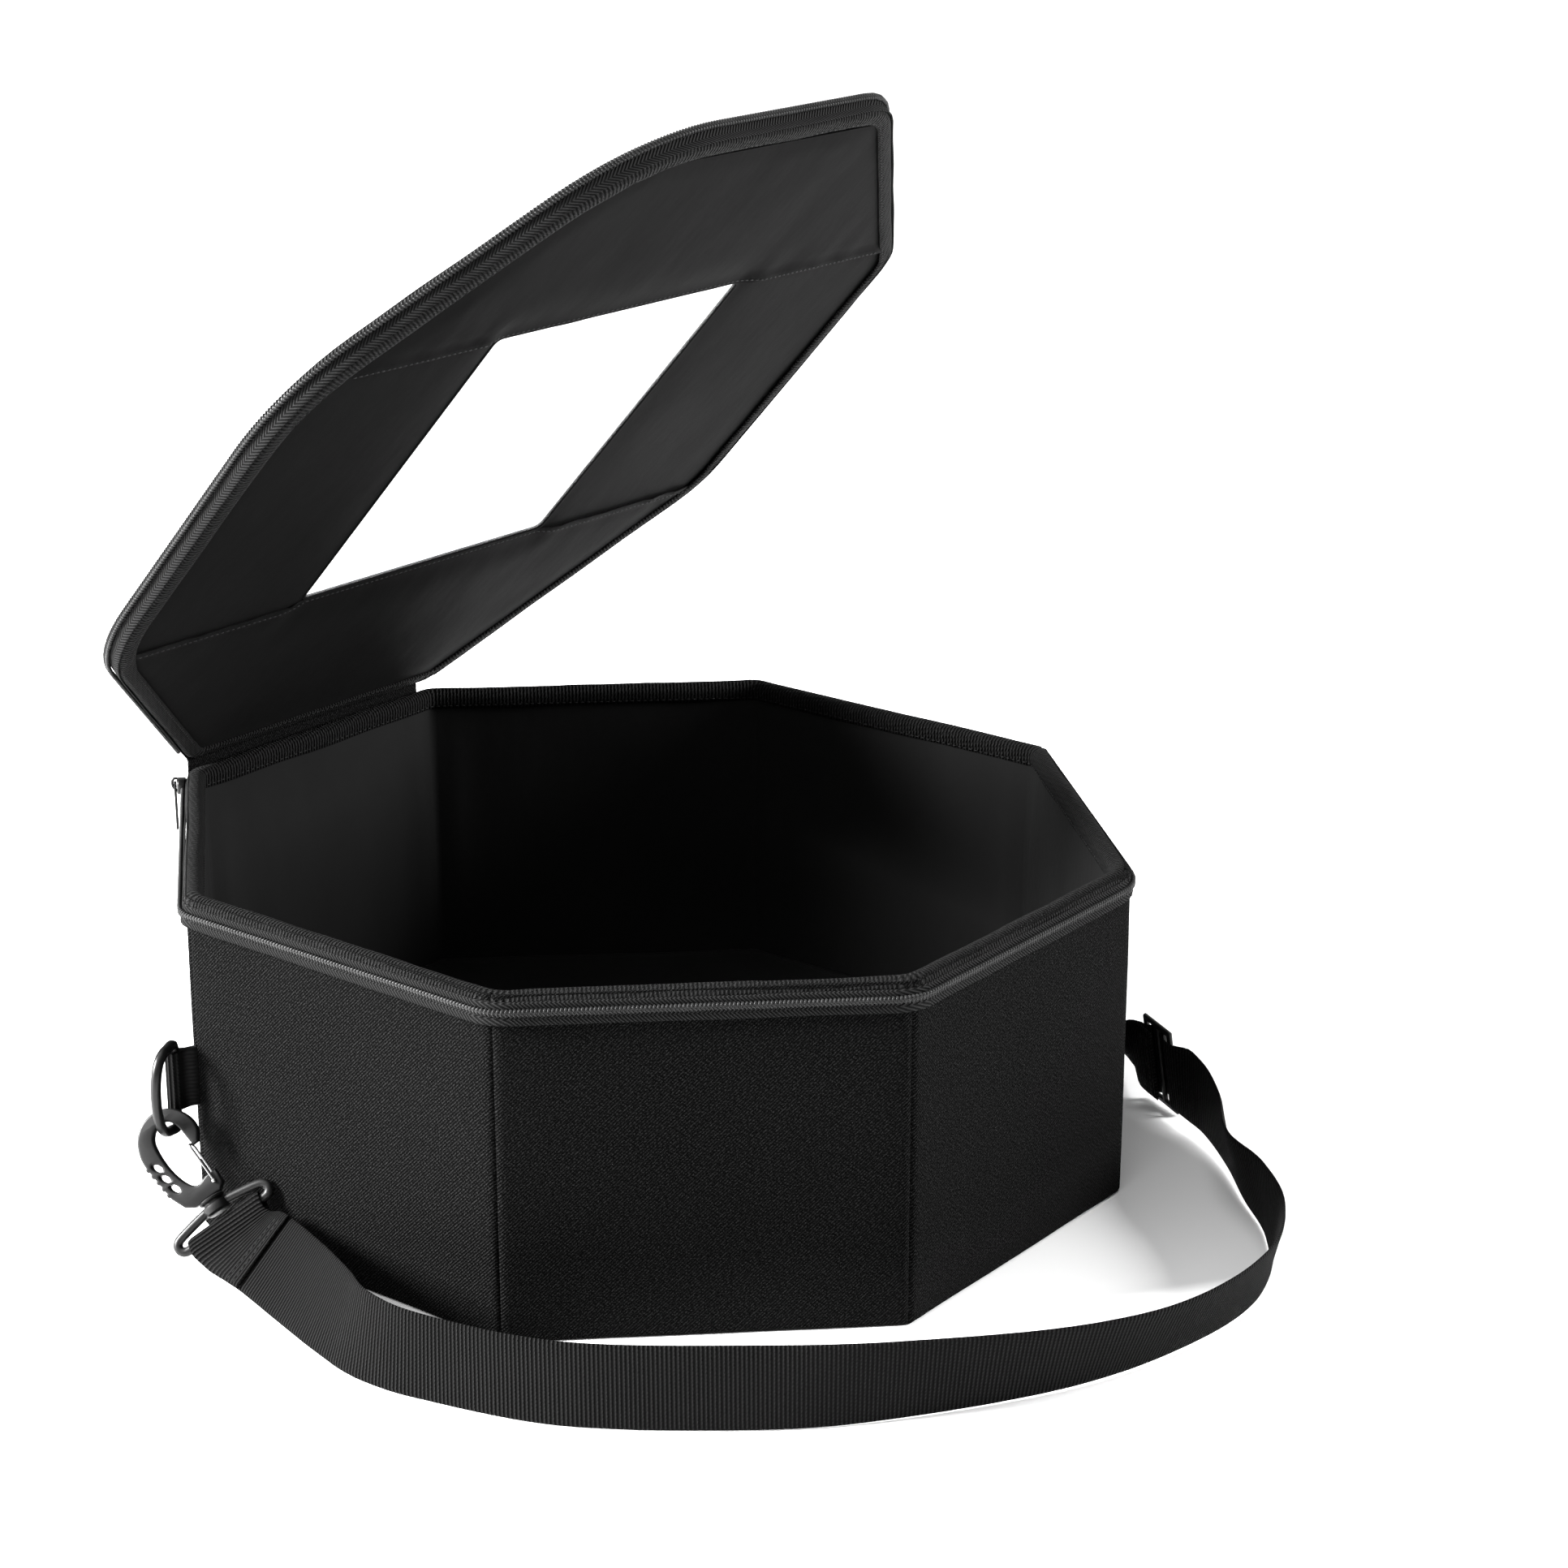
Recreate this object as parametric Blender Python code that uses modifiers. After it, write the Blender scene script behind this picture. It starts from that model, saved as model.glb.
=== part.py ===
"""Hat storage box: an eight-sided padded box with a zipped lid that stands open, a clear window
in the lid, and a webbing shoulder strap that hangs from two corner rings on snap hooks.

Metres, +Z up. X runs along the hinge, +Y is the hinge side, and the origin is the centre of the
box's underside.
"""

import math

import bmesh
import bpy
from mathutils import Matrix, Vector

# Box
BOX_WIDTH = 0.406
BOX_DEPTH = 0.438
HINGE_FLAT = 0.166
SIDE_FLAT = 0.182
BOX_HEIGHT = 0.167
WALL = 0.0055
FLOOR = 0.006
LINING = 0.001
SOFT_EDGE = 0.0018

# Cloth tape folded over the edges
BINDING = 0.001
BINDING_INNER_DROP = 0.010
BINDING_OUTER_DROP = 0.004
GAP = 0.0003

# Zip
TAPE = 0.0008
TAPE_WIDTH = 0.010
COIL_HEIGHT = 0.003
COIL_DEPTH = 0.0018
SLIDER_LENGTH = 0.011
SLIDER_HEIGHT = 0.008
SLIDER_DEPTH = 0.0045
PULL_LENGTH = 0.026
PULL_WIDTH = 0.007
PULL_DEPTH = 0.0012
PULL_EYE = 0.0018

# Lid
LID_OPEN = math.radians(47.3)
LID_PANEL = 0.005
LID_BINDING_WIDTH = 0.008
WINDOW_NEAR = 0.138
WINDOW_LENGTH = 0.196
WINDOW_WIDTH = 0.172
WINDOW_SHEET = 0.0006
HINGE_FOLD = 0.0024
HINGE_BEAD = 0.0008
HINGE_CLOTH = 0.001
HINGE_DROP = 0.030

# Corner tabs and rings
TAB_LOW = 0.063
TAB_WIDTH = 0.029
TAB_CLOTH = 0.0015
TAB_REACH = 0.010
TAB_SEAM = 0.0007
RING_HEIGHT = 0.0452
RING_DEPTH = 0.022
RING_WIRE = 0.0045
RING_SWING = math.radians(39.6)
HANG_SHARE = 0.66

# Snap hooks
HOOK_LENGTH = 0.048
HOOK_WIDTH = 0.0305
HOOK_DEPTH = 0.005
HOOK_EDGE = 0.0007
HOOK_HOLE_LENGTH = 0.0043
HOOK_HOLE_WIDTH = 0.0032
HOOK_HOLE_SLANT = math.radians(60)
RIDGE = 0.001
HOOK_LEAN = math.radians(46)
HOOK_TURN = math.radians(51)
HOOK_REST = 0.0015
GATE_WIRE = 0.0016
COLLAR_RADIUS = 0.0065
COLLAR_HEIGHT = 0.0072
LOOP_WIRE = 0.0045
LOOP_DROP = 0.0095
LOOP_SPARE = 0.003

# Strap
STRAP_WIDTH = 0.040
STRAP = 0.0018
STRAP_STEP = 0.010
STRAP_SAMPLES = 24
FLAP_LEFT = 0.032
SLIDER_FROM_BAR = 0.062
BUCKLE_WIDTH = 0.048
BUCKLE_LENGTH = 0.026
BUCKLE_DEPTH = 0.0024
BUCKLE_BAR = 0.003
BUCKLE_SPARE = 0.0008
FOLD_LENGTH = 0.014
STRAIGHT_END = 0.008

# Layers of the rim, counted outwards from its inner edge
LINING_IN = BINDING + GAP
LINING_OUT = LINING_IN + LINING
WALL_IN = LINING_OUT + GAP
WALL_OUT = WALL_IN + WALL
RIM_OUT = WALL_OUT + GAP + BINDING

RIM_TOP = BOX_HEIGHT
WALL_TOP = RIM_TOP - BINDING - GAP
AXIS_Y = BOX_DEPTH / 2 + RIM_OUT + HINGE_FOLD
AXIS_Z = RIM_TOP + GAP
LID_TOP = 2 * BINDING + 2 * GAP + LID_PANEL

# The snap hook's outline: share of its width to the gate's side, share of its length down
HOOK_OUTER = [
    (0.32, 0.48), (0.42, 0.375), (0.42, 0.25), (0.32, 0.115), (0.15, 0.025), (-0.08, 0.0),
    (-0.295, 0.04), (-0.46, 0.135), (-0.557, 0.28), (-0.574, 0.40),
]
HOOK_BACK = [(-0.50, 0.80), (-0.40, 0.94), (-0.26, 1.0), (0.20, 1.0), (0.31, 0.94), (0.31, 0.80)]
HOOK_INNER = [
    (0.13, 0.80), (-0.065, 0.83), (-0.197, 0.73), (-0.272, 0.5625), (-0.289, 0.396), (-0.262, 0.25),
    (-0.17, 0.167), (-0.033, 0.13), (0.098, 0.156), (0.18, 0.25), (0.207, 0.375), (0.223, 0.48),
]
HOOK_HOLES = [(-0.425, 0.47), (-0.41, 0.60), (-0.365, 0.73)]
HOOK_CROOK = (-0.033, 0.13)
HOOK_NOSE = (0.223, 0.465)
HOOK_RIDGES = 5
GATE_PIVOT = (0.215, 0.895)

# The strap's lower edge on the floor, from the left hook round the front to the right one:
# share of half the box's width, share of half its depth, height as a share of the strap's
# width, and lean of the strap's upper edge towards the box in degrees
STRAP_ROUTE = [
    (-1.175, 0.145, 0.050, 48), (-1.215, -0.010, 0.010, 38), (-1.260, -0.165, 0.005, 26),
    (-1.285, -0.300, 0.005, 12), (-1.262, -0.455, 0.005, 3), (-1.165, -0.725, 0.005, 0),
    (-0.935, -1.020, 0.005, 0), (-0.735, -1.190, 0.005, -8), (-0.445, -1.365, 0.005, -20),
    (-0.195, -1.450, 0.005, -26), (0.055, -1.480, 0.005, -20), (0.245, -1.440, 0.005, -8),
    (0.410, -1.345, 0.005, 6), (0.530, -1.230, 0.010, 16), (0.665, -1.105, 0.040, 8),
    (0.765, -0.985, 0.090, 4), (0.825, -0.865, 0.125, 6),
]


def clear_scene():
    for thing in list(bpy.data.objects):
        bpy.data.objects.remove(thing, do_unlink=True)


clear_scene()
PARTS = bpy.data.collections.new("hat_storage_box")
CUTTERS = bpy.data.collections.new("cutters")
CUTTERS.hide_render = True
for group in (PARTS, CUTTERS):
    bpy.context.scene.collection.children.link(group)


def finish(name, colour, roughness, metallic=0.0):
    material = bpy.data.materials.new(name)
    material.use_nodes = True
    shader = material.node_tree.nodes["Principled BSDF"]
    shader.inputs["Base Color"].default_value = (*colour, 1.0)
    shader.inputs["Roughness"].default_value = roughness
    shader.inputs["Metallic"].default_value = metallic
    return material


COVER = finish("cover_cloth", (0.018, 0.018, 0.019), 0.85)
SATIN = finish("lining_satin", (0.020, 0.020, 0.022), 0.45)
RIBBON = finish("ribbed_ribbon", (0.024, 0.024, 0.026), 0.80)
ZIP_CLOTH = finish("zip_cloth", (0.030, 0.030, 0.032), 0.80)
COIL = finish("zip_coil", (0.040, 0.040, 0.042), 0.35)
WEBBING = finish("webbing", (0.022, 0.022, 0.024), 0.75)
BLACK_METAL = finish("black_metal", (0.020, 0.020, 0.022), 0.35, 0.6)
BLACK_PLASTIC = finish("black_plastic", (0.016, 0.016, 0.017), 0.45)
STEEL = finish("bright_steel", (0.62, 0.62, 0.64), 0.25, 1.0)
CLEAR = finish("clear_sheet", (0.92, 0.93, 0.94), 0.08)


def add_part(name, mesh, material, parent=None):
    part = bpy.data.objects.new(name, mesh)
    mesh.materials.clear()
    mesh.materials.append(material)
    PARTS.objects.link(part)
    part.parent = parent
    return part


def add_empty(name, matrix):
    empty = bpy.data.objects.new(name, None)
    empty.matrix_world = matrix
    PARTS.objects.link(empty)
    return empty


def mesh_of_curve(curve, shift=Vector((0, 0, 0))):
    """The curve's solid as a mesh, with its caps welded."""
    guide = bpy.data.objects.new(curve.name, curve)
    bpy.context.scene.collection.objects.link(guide)
    graph = bpy.context.evaluated_depsgraph_get()
    mesh = bpy.data.meshes.new_from_object(guide.evaluated_get(graph))
    bpy.data.objects.remove(guide, do_unlink=True)
    body = bmesh.new()
    body.from_mesh(mesh)
    bmesh.ops.remove_doubles(body, verts=body.verts, dist=0.000005)
    bmesh.ops.translate(body, verts=body.verts, vec=shift)
    bmesh.ops.recalc_face_normals(body, faces=body.faces)
    body.to_mesh(mesh)
    body.free()
    return mesh


def plate_mesh(loops, low, high):
    """A flat outline, with any holes, filled and extruded from low to high along Z."""
    curve = bpy.data.curves.new("outline", "CURVE")
    curve.dimensions = "2D"
    curve.fill_mode = "BOTH"
    curve.extrude = (high - low) / 2
    for loop in loops:
        spline = curve.splines.new("POLY")
        spline.points.add(len(loop) - 1)
        for point, place in zip(spline.points, loop):
            point.co = (place[0], place[1], 0, 1)
        spline.use_cyclic_u = True
    return mesh_of_curve(curve, Vector((0, 0, (low + high) / 2)))


def tube_mesh(points, wire, closed):
    curve = bpy.data.curves.new("wire", "CURVE")
    curve.dimensions = "3D"
    curve.bevel_depth = wire / 2
    curve.bevel_resolution = 2
    curve.use_fill_caps = not closed
    spline = curve.splines.new("POLY")
    spline.points.add(len(points) - 1)
    for point, place in zip(spline.points, points):
        point.co = (*place, 1)
    spline.use_cyclic_u = closed
    return mesh_of_curve(curve)


def cut(part, loops, low, high):
    """Takes an extruded outline out of a part, in the part's own frame."""
    cutter = bpy.data.objects.new(part.name + "_cutter", plate_mesh(loops, low, high))
    CUTTERS.objects.link(cutter)
    cutter.parent = part
    cutter.display_type = "WIRE"
    cutter.hide_render = True
    boolean = part.modifiers.new("cut", "BOOLEAN")
    boolean.operation = "DIFFERENCE"
    boolean.solver = "EXACT"
    boolean.object = cutter


def join(part, mesh):
    """Adds a second closed shape to a part, in the part's own frame."""
    addition = bpy.data.objects.new(part.name + "_addition", mesh)
    CUTTERS.objects.link(addition)
    addition.parent = part
    addition.display_type = "WIRE"
    addition.hide_render = True
    boolean = part.modifiers.new("join", "BOOLEAN")
    boolean.operation = "UNION"
    boolean.solver = "EXACT"
    boolean.object = addition


def soften(part, width, segments=2):
    bevel = part.modifiers.new("soft_edges", "BEVEL")
    bevel.width = width
    bevel.segments = segments
    bevel.limit_method = "ANGLE"
    bevel.angle_limit = math.radians(35)


def offset_outline(points, distance):
    """A counter-clockwise outline moved outwards by a distance, with its corners kept sharp."""
    count = len(points)
    moved = []
    for i, corner in enumerate(points):
        before = (corner - points[i - 1]).normalized()
        after = (points[(i + 1) % count] - corner).normalized()
        normal_before = Vector((before.y, -before.x))
        normal_after = Vector((after.y, -after.x))
        mitre = (normal_before + normal_after).normalized()
        moved.append(corner + mitre * (distance / mitre.dot(normal_before)))
    return moved


def octagon(distance):
    """The rim's inner edge moved outwards. Corners in order from the left side's front corner."""
    half_width = BOX_WIDTH / 2
    half_depth = BOX_DEPTH / 2
    flat = HINGE_FLAT / 2
    side = SIDE_FLAT / 2
    quarter = [
        (-half_width, -side), (-flat, -half_depth), (flat, -half_depth), (half_width, -side),
        (half_width, side), (flat, half_depth), (-flat, half_depth), (-half_width, side),
    ]
    return offset_outline([Vector(corner) for corner in quarter], distance)


LEFT_FRONT, FRONT_LEFT, FRONT_RIGHT, RIGHT_FRONT = range(4)
RIGHT_BACK, BACK_RIGHT, BACK_LEFT, LEFT_BACK = range(4, 8)
WALL_NAMES = [
    "wall_front_left", "wall_front", "wall_front_right", "wall_right",
    "wall_back_right", "wall_back", "wall_back_left", "wall_left",
]
# The zip runs along every side but the hinge
ZIP_CORNERS = [
    BACK_LEFT, LEFT_BACK, LEFT_FRONT, FRONT_LEFT, FRONT_RIGHT, RIGHT_FRONT, RIGHT_BACK, BACK_RIGHT,
]


def build_walls():
    inner = octagon(WALL_IN)
    outer = octagon(WALL_OUT)
    turn = math.radians(45)
    clearance = GAP / (2 * math.cos(turn / 2))
    for i, name in enumerate(WALL_NAMES):
        along = (outer[(i + 1) % 8] - outer[i]).normalized() * clearance
        outline = [
            inner[i] + along, outer[i] + along,
            outer[(i + 1) % 8] - along, inner[(i + 1) % 8] - along,
        ]
        wall = add_part(name, plate_mesh([outline], 0, WALL_TOP), COVER)
        soften(wall, SOFT_EDGE)


def build_floor_and_lining():
    floor = add_part("floor_panel", plate_mesh([octagon(LINING_OUT)], 0, FLOOR), COVER)
    soften(floor, SOFT_EDGE)
    low = FLOOR + GAP
    lining = add_part("lining", plate_mesh([octagon(LINING_OUT)], low, WALL_TOP), SATIN)
    cut(lining, [octagon(LINING_IN)], low + LINING, BOX_HEIGHT)


def band_mesh(section):
    """A closed band round the box, its section given as distances from the rim's inner edge and heights."""
    band = bmesh.new()
    rings = [
        [band.verts.new((*corner, height)) for corner in octagon(distance)]
        for distance, height in section
    ]
    for ring, following in zip(rings, rings[1:] + rings[:1]):
        for i in range(len(ring)):
            band.faces.new((ring[i - 1], ring[i], following[i], following[i - 1]))
    bmesh.ops.recalc_face_normals(band, faces=band.faces)
    mesh = bpy.data.meshes.new("band")
    band.to_mesh(mesh)
    band.free()
    return mesh


def build_rim_binding():
    inner_low = RIM_TOP - BINDING_INNER_DROP
    outer_low = RIM_TOP - BINDING_OUTER_DROP
    under = RIM_TOP - BINDING
    outer_in = WALL_OUT + GAP
    section = [
        (0, inner_low), (0, RIM_TOP), (RIM_OUT, RIM_TOP), (RIM_OUT, outer_low),
        (outer_in, outer_low), (outer_in, under), (BINDING, under), (BINDING, inner_low),
    ]
    add_part("rim_binding", band_mesh(section), RIBBON)


def zip_strip(near, far, start=0.0):
    """A strip that follows the zip, between two distances from the rim's inner edge."""
    outline = []
    for distance in (near, far):
        corners = octagon(distance)
        line = [corners[i] for i in ZIP_CORNERS]
        first = (line[1] - line[0]).normalized()
        last = (line[-2] - line[-1]).normalized()
        line[0] = line[0] + first * start
        line[-1] = line[-1] + last * start
        outline.append(line)
    return outline[0] + outline[1][::-1]


TAPE_IN = WALL_OUT + GAP
TAPE_OUT = TAPE_IN + TAPE
COIL_IN = TAPE_OUT + GAP
COIL_OUT = COIL_IN + COIL_DEPTH
BOX_TAPE_HIGH = RIM_TOP - BINDING_OUTER_DROP - GAP
BOX_COIL_HIGH = BOX_TAPE_HIGH - TAPE * 2


def build_box_zip():
    outline = zip_strip(TAPE_IN, TAPE_OUT)
    tape = plate_mesh([outline], BOX_TAPE_HIGH - TAPE_WIDTH, BOX_TAPE_HIGH)
    add_part("box_zip_tape", tape, ZIP_CLOTH)
    outline = zip_strip(COIL_IN, COIL_OUT, SLIDER_LENGTH + COIL_DEPTH + GAP)
    coil = plate_mesh([outline], BOX_COIL_HIGH - COIL_HEIGHT, BOX_COIL_HIGH)
    soften(add_part("box_zip_coil", coil, COIL), COIL_DEPTH / 4, 1)


def slot_outline(radius, low, high):
    """A long hole or tab with round ends, counter-clockwise, about a line along Y."""
    top = [(radius * math.cos(a), high + radius * math.sin(a)) for a in arc(0, math.pi, 6)]
    bottom = arc(math.pi, 2 * math.pi, 6)
    return top + [(radius * math.cos(a), low + radius * math.sin(a)) for a in bottom]


def build_slider():
    """The zip's slider at the hinge end of the left side, with its pull hanging down."""
    corners = octagon(COIL_IN)
    along = (corners[LEFT_BACK] - corners[BACK_LEFT]).normalized().to_3d()
    up = Vector((0, 0, 1))
    place = Matrix((along, up, along.cross(up))).transposed().to_4x4()
    start = corners[BACK_LEFT].to_3d() + along * (SLIDER_LENGTH / 2)
    place.translation = start + up * (BOX_COIL_HIGH - COIL_HEIGHT / 2)
    mount = add_empty("slider_place", place)
    back = SLIDER_LENGTH / 2
    front = back * 0.6
    wide = SLIDER_HEIGHT / 2
    narrow = wide * 0.65
    body = [
        (-back, -narrow), (front, -wide), (back, -narrow),
        (back, narrow), (front, wide), (-back, narrow),
    ]
    slider = add_part("zip_slider", plate_mesh([body], 0, SLIDER_DEPTH), BLACK_METAL, mount)
    soften(slider, SLIDER_DEPTH / 6, 1)
    high = wide - PULL_EYE - PULL_WIDTH / 2
    low = high - PULL_LENGTH + PULL_WIDTH
    tab = slot_outline(PULL_WIDTH / 2, low, high)
    hole = slot_outline(PULL_EYE, low, low + PULL_EYE)
    near = SLIDER_DEPTH + GAP
    pull = plate_mesh([tab, hole[::-1]], near, near + PULL_DEPTH)
    add_part("zip_pull", pull, BLACK_METAL, mount)


def arc(start, end, count):
    return [start + (end - start) * i / (count - 1) for i in range(count)]


def circle(radius, count, flattened=1.0):
    turns = arc(0, 2 * math.pi * (count - 1) / count, count)
    return [(radius * math.cos(a), radius * flattened * math.sin(a)) for a in turns]


def rectangle(low_x, high_x, low_y, high_y):
    return [(low_x, low_y), (high_x, low_y), (high_x, high_y), (low_x, high_y)]


def clipped(points, axis, limit, keep_above):
    """The part of a convex outline on one side of a line across X (axis 0) or Y (axis 1)."""
    sign = 1 if keep_above else -1
    kept = []
    for i, point in enumerate(points):
        following = points[(i + 1) % len(points)]
        here = sign * (point[axis] - limit)
        there = sign * (following[axis] - limit)
        if here >= 0:
            kept.append(point)
        if here * there < 0:
            kept.append(point.lerp(following, here / (here - there)))
    return kept


def build_lid(hinge):
    """The lid is drawn closed, in the frame of its hinge, which then opens it."""
    def from_axis(distance):
        return [corner - Vector((0, AXIS_Y)) for corner in octagon(distance)]

    low = BINDING + GAP
    high = low + LID_PANEL
    near = -WINDOW_NEAR
    far = near - WINDOW_LENGTH
    side = WINDOW_WIDTH / 2
    whole = from_axis(RIM_OUT - BINDING - GAP)
    middle = clipped(clipped(whole, 1, near - GAP, False), 1, far + GAP, True)
    panels = {
        "lid_panel_back": clipped(whole, 1, near, True),
        "lid_panel_front": clipped(whole, 1, far, False),
        "lid_panel_left": clipped(middle, 0, -side, False),
        "lid_panel_right": clipped(middle, 0, side, True),
    }
    for name, outline in panels.items():
        soften(add_part(name, plate_mesh([outline], low, high), COVER, hinge), SOFT_EDGE / 2, 1)
    pane = rectangle(-side + GAP, side - GAP, far + 2 * GAP, near - 2 * GAP)
    level = (low + high - WINDOW_SHEET) / 2
    add_part("window_pane", plate_mesh([pane], level, level + WINDOW_SHEET), CLEAR, hinge)

    ring = [from_axis(RIM_OUT), from_axis(RIM_OUT - LID_BINDING_WIDTH)]
    binding = add_part("lid_binding", plate_mesh(ring, 0, LID_TOP), RIBBON, hinge)
    cut(binding, [from_axis(RIM_OUT - BINDING)], BINDING, LID_TOP - BINDING)

    shift = Vector((0, AXIS_Y))
    tape_in = RIM_OUT + GAP
    tape_out = tape_in + TAPE
    tape = [corner - shift for corner in zip_strip(tape_in, tape_out)]
    tape_top = BINDING + TAPE_WIDTH
    add_part("lid_zip_tape", plate_mesh([tape], BINDING, tape_top), ZIP_CLOTH, hinge)
    coil = [corner - shift for corner in zip_strip(tape_out + GAP, tape_out + GAP + COIL_DEPTH)]
    coil_top = tape_top - TAPE
    coil_mesh = plate_mesh([coil], coil_top - COIL_HEIGHT, coil_top)
    soften(add_part("lid_zip_coil", coil_mesh, COIL, hinge), COIL_DEPTH / 4, 1)


def strip_along_x(name, profile, length, parent):
    """A profile in the Y-Z plane, extruded along X about the middle of the hinge."""
    strip = add_part(name, plate_mesh([profile], -length / 2, length / 2), COVER, parent)
    strip.matrix_basis = Matrix(((0, 0, 1, 0), (1, 0, 0, 0), (0, 1, 0, 0), (0, 0, 0, 1)))
    return strip


def build_hinge_strip(closed_hinge, hinge):
    """The folded cloth that carries the lid: the lower part ends in a bead on the hinge line."""
    half = HINGE_CLOTH / 2
    wall_face = BOX_DEPTH / 2 + WALL_OUT + GAP - AXIS_Y
    rim_face = -HINGE_FOLD + GAP
    shoulder = -HINGE_BEAD - GAP - half
    binding_low = RIM_TOP - BINDING_OUTER_DROP - GAP - AXIS_Z
    low = RIM_TOP - HINGE_DROP - AXIS_Z
    neck = math.asin(half / HINGE_BEAD)
    head = [
        (HINGE_BEAD * math.cos(a), HINGE_BEAD * math.sin(a))
        for a in arc(-math.pi / 2 + neck, 1.5 * math.pi - neck, 10)
    ]
    profile = head + [
        (-half, shoulder), (rim_face, shoulder), (rim_face, binding_low), (wall_face, binding_low),
        (wall_face, low), (half, low),
    ]
    strip_along_x("hinge_strip_lower", profile, HINGE_FLAT, closed_hinge)
    near = -HINGE_BEAD - GAP
    far = -HINGE_FOLD + GAP
    upper = [(far, -half), (near, -half), (near, LID_TOP), (far, LID_TOP)]
    strip_along_x("hinge_strip_upper", upper, HINGE_FLAT, hinge)


def ring_points():
    """The D ring's centre line: a straight bar at the origin and a full round away from it."""
    tall = (RING_HEIGHT - RING_WIRE) / 2
    deep = RING_DEPTH - RING_WIRE
    turns = arc(-math.pi / 2, math.pi / 2, 25)
    return [(deep * math.sqrt(abs(math.cos(a))), 0, tall * math.sin(a)) for a in turns]


class CornerHook:
    """A ring in a webbing tab on one corner, with the snap hook and strap loop that hang from it."""

    def __init__(self, side, corner, lean_towards, mirror):
        self.side = side
        self.mirror = mirror
        rim = octagon(WALL_OUT + GAP)
        out = (rim[corner] - octagon(0)[corner]).normalized()
        angle = math.atan2(out.y, out.x)
        bar = rim[corner] + out * TAB_REACH
        tall = (RING_HEIGHT - RING_WIRE) / 2
        turned = Matrix.Rotation(angle, 4, "Z")
        self.tab_place = Matrix.Translation((bar.x, bar.y, TAB_LOW)) @ turned
        swung = Matrix.Rotation(angle + RING_SWING * mirror, 4, "Z")
        ring_height = TAB_LOW + TAB_WIDTH + 2 * GAP + RING_WIRE / 2 - tall
        self.ring_place = Matrix.Translation((bar.x, bar.y, ring_height)) @ swung
        reach = (RING_DEPTH - RING_WIRE) * HANG_SHARE
        low = tall * math.sqrt(1 - HANG_SHARE ** 4)
        bearing = self.ring_place @ Vector((reach, 0, -low))
        facing = math.atan2(lean_towards.y, lean_towards.x) + math.pi / 2
        leaned = Matrix.Rotation(facing, 4, "Z") @ Matrix.Rotation(-HOOK_LEAN, 4, "X")
        turn = leaned @ Matrix.Rotation(-mirror * HOOK_TURN, 4, "Z")
        crook = self.hook_point(*HOOK_CROOK)
        drop = crook - Vector((0, 0, RING_WIRE / 2 + HOOK_REST))
        self.hook_place = Matrix.Translation(bearing) @ turn @ Matrix.Translation(-drop)

    def hook_point(self, across, down):
        return Vector((across * HOOK_WIDTH, 0, -down * HOOK_LENGTH))

    def bar_middle(self):
        return self.hook_place @ Vector((0, 0, -HOOK_LENGTH - GAP - LOOP_DROP - LOOP_WIRE))

    def bar_direction(self):
        return (self.hook_place.to_3x3() @ Vector((1, 0, 0))).normalized() * self.mirror

    def build(self):
        self.build_tab()
        ring = tube_mesh(ring_points(), RING_WIRE, True)
        ring_part = add_part("ring_" + self.side, ring, BLACK_METAL)
        ring_part.matrix_world = self.ring_place
        frame = add_empty("hook_place_" + self.side, self.hook_place)
        self.build_hook(frame)
        self.build_loop(frame)
        self.build_gate(frame)

    def build_tab(self):
        """Webbing sewn in the corner seam and folded round the ring's straight bar."""
        hole = RING_WIRE / 2 + GAP
        outer = hole + TAB_CLOTH
        fold = arc(-math.pi * 0.6, math.pi * 0.6, 9)
        outline = [(outer * math.cos(a), outer * math.sin(a)) for a in fold]
        seam = -TAB_REACH - TAB_SEAM
        outline += [(seam, TAB_CLOTH + GAP), (seam, -TAB_CLOTH - GAP)]
        tab_mesh = plate_mesh([outline, circle(hole, 12)[::-1]], 0, TAB_WIDTH)
        tab = add_part("ring_tab_" + self.side, tab_mesh, WEBBING)
        tab.matrix_world = self.tab_place

    def outline(self):
        """The hook's outline, with a row of ridges down its back."""
        first = Vector(HOOK_OUTER[-1])
        last = Vector(HOOK_BACK[0])
        ridges = []
        for i in range(HOOK_RIDGES):
            for part, height in ((0.1, 0.0), (0.45, RIDGE / HOOK_WIDTH), (0.8, 0.0)):
                place = first.lerp(last, (i + part) / HOOK_RIDGES)
                ridges.append((place.x - height, place.y))
        shares = HOOK_OUTER + ridges + HOOK_BACK + HOOK_INNER
        return [(x * HOOK_WIDTH, -z * HOOK_LENGTH) for x, z in shares]

    def build_hook(self, frame):
        holes = []
        for x, z in HOOK_HOLES:
            hole = circle(HOOK_HOLE_LENGTH / 2, 6, HOOK_HOLE_WIDTH / HOOK_HOLE_LENGTH)
            turned = Matrix.Rotation(-HOOK_HOLE_SLANT, 2)
            middle = Vector((x * HOOK_WIDTH, -z * HOOK_LENGTH))
            holes.append([middle + turned @ Vector(point) for point in hole])
        pivot = self.hook_point(*GATE_PIVOT)
        holes.append([(pivot.x + x, pivot.z + z) for x, z in circle(GATE_WIRE / 2 + GAP, 8)])
        half = HOOK_DEPTH / 2
        hook_mesh = plate_mesh([self.outline()] + holes, -half, half)
        hook = add_part("snap_hook_" + self.side, hook_mesh, BLACK_PLASTIC, frame)
        hook.matrix_basis = Matrix.Rotation(math.pi / 2, 4, "X")
        soften(hook, HOOK_EDGE, 1)

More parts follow.
